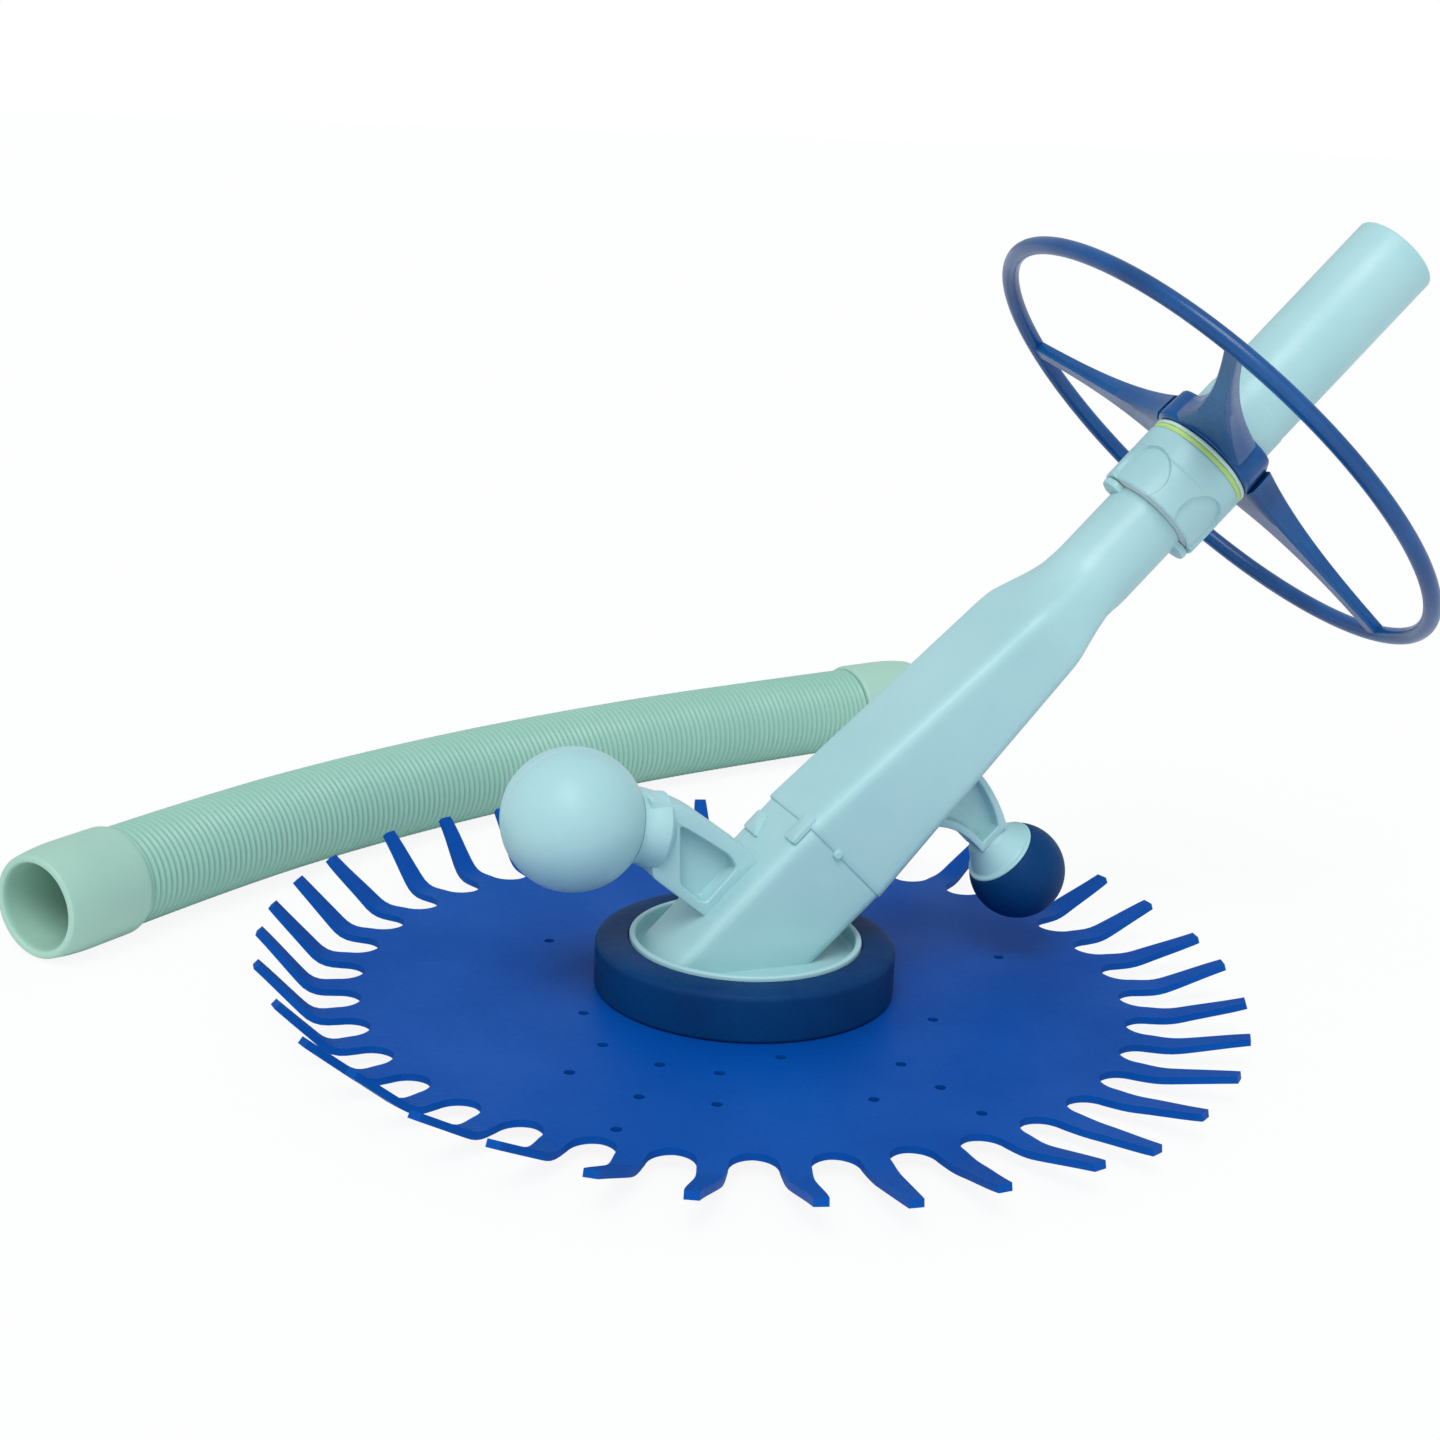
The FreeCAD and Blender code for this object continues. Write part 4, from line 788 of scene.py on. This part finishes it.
def makeFloat(shape):
    # a sphere about Y with a shallow groove at its equator: r = R - seam * exp(-(R * latitude / wide)^2)
    latitude = np.concatenate([np.linspace(-np.pi / 2, -0.09, 40), np.linspace(-0.085, 0.085, 17),
                               np.linspace(0.09, np.pi / 2, 40)])
    off = shape["radius"] * latitude / shape["seamWide"]
    r = shape["radius"] - shape["seam"] * np.exp(-off ** 2)
    profile = np.stack([r * np.cos(latitude), r * np.sin(latitude)], axis=1)
    profile[[0, -1], 0] = 0.0
    ball = towards(spun(profile, 128), shape["centre"], (0, 1, 0))
    floatPiece = pieceFrom("floatBall", [(ball, False, True)], "aqua_plastic", "cleaner", sharp=60)
    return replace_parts(floatPiece, "float_near", "float_far")


def sunkPlate(edge, panel, half, web, softEdge, softPanel):
    # rows from the middle of one web, up its wall, over the rim, round the edge to the other web
    def loop(corners, soft, side):
        ring = softOutline(corners, soft, 6)
        return np.stack([ring[:, 0], np.full(len(ring), side), ring[:, 1]], axis=1)
    rows = []
    for sign in (-1, 1):
        sunk, lip = inset(panel, 0.5), inset(panel, -0.5)
        part = [loop(sunk, softPanel, sign * web), loop(panel, softPanel, sign * (web + 0.6)),
                loop(panel, softPanel, sign * (half - 0.5)), loop(lip, softPanel, sign * half),
                loop(inset(edge, 0.9), softEdge, sign * half),
                loop(inset(edge, 0.25), softEdge, sign * (half - 0.3)),
                loop(edge, softEdge, sign * (half - 1.0))]
        centre = np.repeat(part[0].mean(axis=0)[None], len(part[0]), axis=0)
        part = [centre] + part
        rows += part if sign < 0 else part[::-1]
    return np.array(rows)


def makeFloatArm(shape):
    plate = sunkPlate(shape["outline"], shape["panel"], shape["armHalf"], shape["web"],
                      np.array([2, 8, 5, 0.5, 0.5, 8, 2]), np.array([2, 2, 3, 2, 3, 2, 2]))
    centre = np.array(shape["centre"])
    reach = math.hypot(*shape["collar"])
    start = math.sqrt(shape["radius"] ** 2 - shape["collarLow"] ** 2) - 0.6
    # the collar swells gently from the ball to the bracket
    share = np.linspace(0, 1, 14)
    swell = shape["collarLow"] + (shape["collarHigh"] - shape["collarLow"]) * ease(share, -0.3, 1.0)
    swell = swell + 1.2 * (1 - share) ** 6
    along = start + (reach + 1.5 - start) * share
    side = np.stack([swell, along], axis=1)
    # and runs out in a blunt cone between the bracket's walls
    cap = np.array([(swell[-1] * 0.94, along[-1] + 1.2), (swell[-1] * 0.5, along[-1] + 6.0),
                    (0.0, along[-1] + 8.0)])
    foot = np.array([(0.0, start)])
    profile = np.concatenate([foot, side, cap])
    axis = (shape["collar"][0], 0, shape["collar"][1])
    collar = towards(spun(profile, 72), centre, axis)
    arm = pieceFrom("floatArm", [(plate, False, True), (collar, False, True)],
                    "aqua_plastic", "cleaner", sharp=40)
    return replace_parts(arm, "float_arm")


floatBall = makeFloat(floatShape)
floatArm = makeFloatArm(floatShape)
print("float made")


# Weight

weightShape = {
    "along": 102.0, "ball": 20.5, "centre": 74.2, "open": 12.2, "cupRoot": 50.0, "cupHigh": 9.0,
    "armHalf": 8.0, "web": 1.6,
    "outline": [(14, -15.5), (24, -14), (32, -8.5), (41, -6.5), (50.5, -6.5), (50.5, 9), (42, 12.5),
                (30, 15.5), (9, 16.5)],
    "panel": [(20, -11), (24, -9.5), (30, -5.6), (39, -3.5), (47, -3.5), (47, 6), (40, 9.5),
              (29, 12.5), (20, 13)],
}


def hanging(points, along):
    # (a, b, h) about the weight's own axis: u = h, w = along - a, v = b
    a, b, h = np.moveaxis(points, -1, 0)
    return leaning(np.stack([h, b, along - a], axis=-1))


def makeWeight(shape):
    mouth = shape["centre"] - shape["open"]
    rim = math.sqrt(shape["ball"] ** 2 - shape["open"] ** 2)
    # boot: a sphere's zone from its mouth to its pole, with a rolled lip
    low = math.asin(-shape["open"] / shape["ball"])
    tilt = np.linspace(low, np.pi / 2, 48)
    ball = np.stack([shape["ball"] * np.cos(tilt), shape["centre"] + shape["ball"] * np.sin(tilt)],
                    axis=1)
    ball[-1, 0] = 0.0
    lip = np.array([(0.0, mouth + 1.2), (rim - 2.6, mouth + 1.2), (rim - 2.2, mouth + 0.2),
                    (rim - 1.4, mouth - 0.3), (rim - 0.5, mouth - 0.2)])
    boot = hanging(spun(np.concatenate([lip, ball]), 96), shape["along"])
    bootPiece = pieceFrom("weightBoot", [(boot, False, True)], "navy_rubber", "cleaner", sharp=45)
    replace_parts(bootPiece, "weight_boot")
    # cup: a cone with a rounded root and a bead round its rim
    root = shape["cupRoot"]
    cup = np.array([(0.0, root), (shape["cupHigh"] - 1.5, root), (shape["cupHigh"], root + 1.2),
                    (rim - 2.4, mouth - 1.9), (rim - 0.7, mouth - 1.5), (rim - 0.4, mouth - 0.5),
                    (rim - 1.8, mouth + 0.1), (rim - 3.0, mouth + 0.9), (0.0, mouth + 0.9)])
    cup = softOutline(cup, np.array([0.01, 1.2, 3, 1.2, 0.8, 0.8, 0.8, 0.5, 0.01]), 6)
    cup[[0, -1], 0] = 0.0
    cup = np.concatenate([[[0.0, root]], cup, [[0.0, mouth + 0.9]]])
    cupPiece = pieceFrom("weightCup", [(hanging(spun(cup, 96), shape["along"]), False, True)],
                         "aqua_plastic", "cleaner", sharp=40)
    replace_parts(cupPiece, "weight_cup")
    plate = sunkPlate(shape["outline"], shape["panel"], shape["armHalf"], shape["web"],
                      np.array([0.5, 7, 9, 6, 0.8, 0.8, 7, 12, 0.5]),
                      np.array([1.5, 2, 4, 3, 1, 1, 4, 6, 1.5]))
    u, v, w = np.moveaxis(plate, -1, 0)
    plate = leaning(np.stack([u, v, w + shape["along"]], axis=-1))
    arm = pieceFrom("weightArm", [(plate, False, True)], "aqua_plastic", "cleaner", sharp=40)
    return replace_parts(arm, "weight_arm")


weightArm = makeWeight(weightShape)
print("weight made")


# Swivel nut, rings and pipe

swivelShape = {
    "nutLow": 245.0, "nutTop": 273.6, "band": 24.0, "neck": 22.4, "bore": 19.7, "chamber": 20.8,
    "shoulder": 256.0, "arches": 4, "archTurn": 20.0, "archRadius": 12.5, "archAt": 252.0,
    "groove": 262.5, "ringOuter": 23.7, "ringThick": 2.3, "capOuter": 24.0, "capThick": 1.7,
    "pipe": 19.0, "stem": 19.3, "pipeBore": 16.1, "pipeLow": 249.0, "collar": 20.5,
    "collarTop": 252.3, "stop": 306.0, "pipeEnd": 399.0,
}


def makeNut(shape):
    # outer radius: the band's, less where a point lies inside an arch of radius R about its foot
    low, top = shape["nutLow"], shape["nutTop"]
    along = np.linspace(low, top, 110)
    angle = np.linspace(0, 2 * np.pi, 360, endpoint=False)[None, :]
    quarter = 2 * np.pi / shape["arches"]
    off = np.mod(angle - math.radians(shape["archTurn"]) + quarter / 2, quarter) - quarter / 2
    across = shape["band"] * np.sin(off)
    distance = np.hypot(across, along[:, None] - shape["archAt"])
    step = ease(distance, shape["archRadius"] - 0.35, shape["archRadius"] + 0.35)
    radius = shape["neck"] + (shape["band"] - shape["neck"]) * step
    line = np.exp(-((along - shape["groove"]) / 0.35) ** 2)[:, None]
    radius = radius - 0.35 * line * step
    edge = np.minimum(along - low, top - along)[:, None]
    radius = radius - 0.7 * (1 - ease(edge, -0.2, 0.9))
    outer = np.stack([radius * np.cos(angle), radius * np.sin(angle),
                      along[:, None] + 0 * angle], axis=-1)
    profile = np.array([(shape["bore"] + 1.0, top), (shape["bore"], top - 0.6),
                        (shape["bore"], shape["shoulder"]), (shape["chamber"], shape["shoulder"]),
                        (shape["chamber"], low)])
    inner = spun(profile, 360)
    nut = pieceFrom("swivelNut", [(leaning(np.concatenate([outer, inner])), True, True)],
                    "aqua_plastic", "cleaner", sharp=38)
    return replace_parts(nut, "swivel_nut")


def ringPiece(name, node, outer, low, high, slotName, soft):
    inner = swivelShape["bore"]
    profile = softOutline([(inner, low), (outer, low), (outer, high), (inner, high)],
                          np.array([0.3, soft, soft, 0.3]), 6)
    piece = pieceFrom(name, [leaningRing(profile, 144)], slotName, "cleaner", sharp=45)
    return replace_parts(piece, node)


def makePipe(shape):
    low, end = shape["pipeLow"], shape["pipeEnd"]
    profile = [(shape["pipeBore"], low), (shape["collar"], low), (shape["collar"], shape["collarTop"]),
               (shape["stem"], shape["collarTop"]), (shape["stem"], shape["stop"]),
               (shape["pipe"], shape["stop"] + 0.2), (shape["pipe"], end), (shape["pipeBore"], end)]
    profile = softOutline(profile, np.array([0.4, 0.5, 0.3, 0.3, 0.2, 0.2, 1.1, 0.8]), 6)
    pipe = pieceFrom("hosePipe", [leaningRing(profile, 144)], "aqua_plastic", "pipe", sharp=45)
    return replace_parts(pipe, "pipe")


nut = makeNut(swivelShape)
ringTop = swivelShape["nutTop"] + swivelShape["ringThick"]
capTop = ringTop + swivelShape["capThick"]
ringPiece("bearingRing", "bearing_ring", swivelShape["ringOuter"], swivelShape["nutTop"], ringTop,
          "yellow_ring", 0.9)
ringPiece("capWasher", "cap_washer", swivelShape["capOuter"], ringTop, capTop, "pale_ring", 0.7)
pipe = makePipe(swivelShape)
print("swivel made")


# Bumper wheel

wheelShape = {
    "low": 277.9, "tall": 15.0, "hub": 24.6, "hubTop": 23.6, "lobe": 2.4, "lobeWide": 0.26,
    "bore": 19.7, "recess": 22.3, "recessLow": 290.3, "ring": 115.0, "tube": 3.6,
    "spokes": 3, "spokeTurn": -10.0, "root": 17.0, "tip": 3.3, "flare": 3.3, "start": 20.6,
}


def makeWheel(shape):
    low, tall = shape["low"], shape["tall"]
    middle = low + tall / 2
    # rim: (R + t cos b, t sin b)
    turnAround = np.linspace(0, 2 * np.pi, 28, endpoint=False)
    section = np.stack([shape["ring"] + shape["tube"] * np.cos(turnAround),
                        middle + shape["tube"] * np.sin(turnAround)], axis=1)
    surfaces = [leaningRing(section, 240)]
    # hub: radius swells at lobes midway between the spokes
    angle = np.linspace(0, 2 * np.pi, 240, endpoint=False)[None, :]
    third = 2 * np.pi / shape["spokes"]
    fromLobe = np.mod(angle - math.radians(shape["spokeTurn"]), third) - third / 2
    swell = shape["lobe"] * np.exp(-(fromLobe / shape["lobeWide"]) ** 2)
    height = np.array([0, 0.35, 1.2, 0.25 * tall, 0.5 * tall, 0.75 * tall, tall - 1.4, tall - 0.4,
                       tall])[:, None]
    edgeDrop = np.array([-1.2, -0.4, 0, 0, 0, 0, 0, -0.5, -1.4])[:, None]
    radius = shape["hub"] + (shape["hubTop"] - shape["hub"]) * height / tall + swell + edgeDrop
    hub = np.stack([radius * np.cos(angle), radius * np.sin(angle), low + height + 0 * angle], -1)
    profile = np.array([(shape["recess"], low + tall), (shape["recess"], shape["recessLow"]),
                        (shape["bore"], shape["recessLow"]), (shape["bore"], low)])
    surfaces.append((leaning(np.concatenate([hub, spun(profile, 240)])), True, True))
    for i in range(shape["spokes"]):
        surfaces.append((spokeRows(shape, middle, 360 / shape["spokes"] * i), False, True))
    wheel = pieceFrom("bumperWheel", surfaces, "petrol_plastic", "wheel", sharp=42)
    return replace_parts(wheel, "wheel")


def spokeRows(shape, middle, turnDegrees):
    # A spoke from hub to rim: a web between two raised edges, dished on its upper side
    share = np.concatenate([np.linspace(0, 0.5, 26), np.linspace(0.53, 1, 24)])
    x = shape["start"] + share * (shape["ring"] - shape["start"])
    # half width = tip + (root - tip) (1 - s)^flare; the depth falls off the same way
    half = shape["tip"] + (shape["root"] - shape["tip"]) * (1 - share) ** shape["flare"]
    fall = (1 - share) ** 2.2
    top = middle + 2.6 + 3.6 * fall
    bottom = middle - 2.4 - 4.6 * fall
    sunk = np.minimum(2.6, 0.30 * half) * (1 - ease(share, 0.72, 0.97))
    # across: (share of half width, share of height from bottom to top, how much of the sink)
    side = [(1.0, 0.12, 0), (1.0, 0.5, 0), (0.97, 0.9, 0), (0.88, 1.0, 0), (0.74, 1.0, 0),
            (0.60, 0.97, 0.8), (0.40, 0.95, 1.0)]
    foot = [(x, 0.0, 0) for x in (0.86, 0.5, 0.0, -0.5, -0.86)]
    ring = np.array([(-a, b, c) for a, b, c in side] + [(0.0, 0.97, 1.0)] + side[::-1] + foot)
    v = half[:, None] * ring[None, :, 0]
    h = bottom[:, None] + (top - bottom)[:, None] * ring[None, :, 1] - sunk[:, None] * ring[None, :, 2]
    rows = np.stack([x[:, None] + 0 * v, v, h], axis=-1)
    first = np.repeat(rows[:1].mean(axis=1, keepdims=True), rows.shape[1], axis=1)
    last = np.repeat(rows[-1:].mean(axis=1, keepdims=True), rows.shape[1], axis=1)
    rows = np.concatenate([first, rows, last])
    return leaningTurned(rows, turnDegrees + shape["spokeTurn"])


wheel = makeWheel(wheelShape)
print("wheel made")


# Floor and light

def makeFloor():
    # a wide pale sheet that lies under everything; the eye sees it near white, with a soft shadow
    reach = 12.0
    mesh = bpy.data.meshes.new("floor")
    mesh.from_pydata([(-reach, -reach, 0), (reach, -reach, 0), (reach, reach, 0),
                      (-reach, reach, 0)], [], [(0, 1, 2, 3)])
    floor = bpy.data.objects.new("floor", mesh)
    bpy.context.scene.collection.objects.link(floor)
    material = bpy.data.materials.new("paleFloor")
    material.use_nodes = True
    tree = material.node_tree
    tree.nodes.clear()
    output = tree.nodes.new("ShaderNodeOutputMaterial")
    lit = addNode(tree, "ShaderNodeBsdfDiffuse", {"Color": (0.9, 0.91, 0.92, 1)})
    shown = addNode(tree, "ShaderNodeEmission", {"Color": (1, 1, 1, 1), "Strength": 1.0})
    rays = tree.nodes.new("ShaderNodeLightPath")
    share = addNode(tree, "ShaderNodeMath", {0: rays.outputs["Is Camera Ray"], 1: 0.9},
                    operation="MULTIPLY")
    mixed = addNode(tree, "ShaderNodeMixShader", {0: share.outputs[0]})
    tree.links.new(lit.outputs[0], mixed.inputs[1])
    tree.links.new(shown.outputs[0], mixed.inputs[2])
    tree.links.new(mixed.outputs[0], output.inputs["Surface"])
    mesh.materials.append(material)


def makeLight():
    scene = bpy.context.scene
    scene.view_settings.view_transform = "Standard"
    world = bpy.data.worlds.new("studio")
    scene.world = world
    world.use_nodes = True
    tree = world.node_tree
    tree.nodes.clear()
    output = tree.nodes.new("ShaderNodeOutputWorld")
    soft = addNode(tree, "ShaderNodeBackground", {"Color": (0.93, 0.97, 1, 1), "Strength": 0.62})
    white = addNode(tree, "ShaderNodeBackground", {"Color": (1, 1, 1, 1), "Strength": 1.0})
    rays = tree.nodes.new("ShaderNodeLightPath")
    mixed = addNode(tree, "ShaderNodeMixShader", {0: rays.outputs["Is Camera Ray"]})
    tree.links.new(soft.outputs[0], mixed.inputs[1])
    tree.links.new(white.outputs[0], mixed.inputs[2])
    tree.links.new(mixed.outputs[0], output.inputs["Surface"])
    for name, direction, strength, spread in (("keyLight", (0.35, 0.55, -1.0), 1.35, 30),
                                              ("fillLight", (0.3, 1.0, -0.35), 0.35, 60)):
        lamp = bpy.data.lights.new(name, "SUN")
        lamp.energy = strength
        lamp.angle = math.radians(spread)
        holder = bpy.data.objects.new(name, lamp)
        scene.collection.objects.link(holder)
        aim = Vector(direction).normalized()
        holder.rotation_euler = aim.to_track_quat("-Z", "Y").to_euler()


makeFloor()
makeLight()
print("floor and light made")
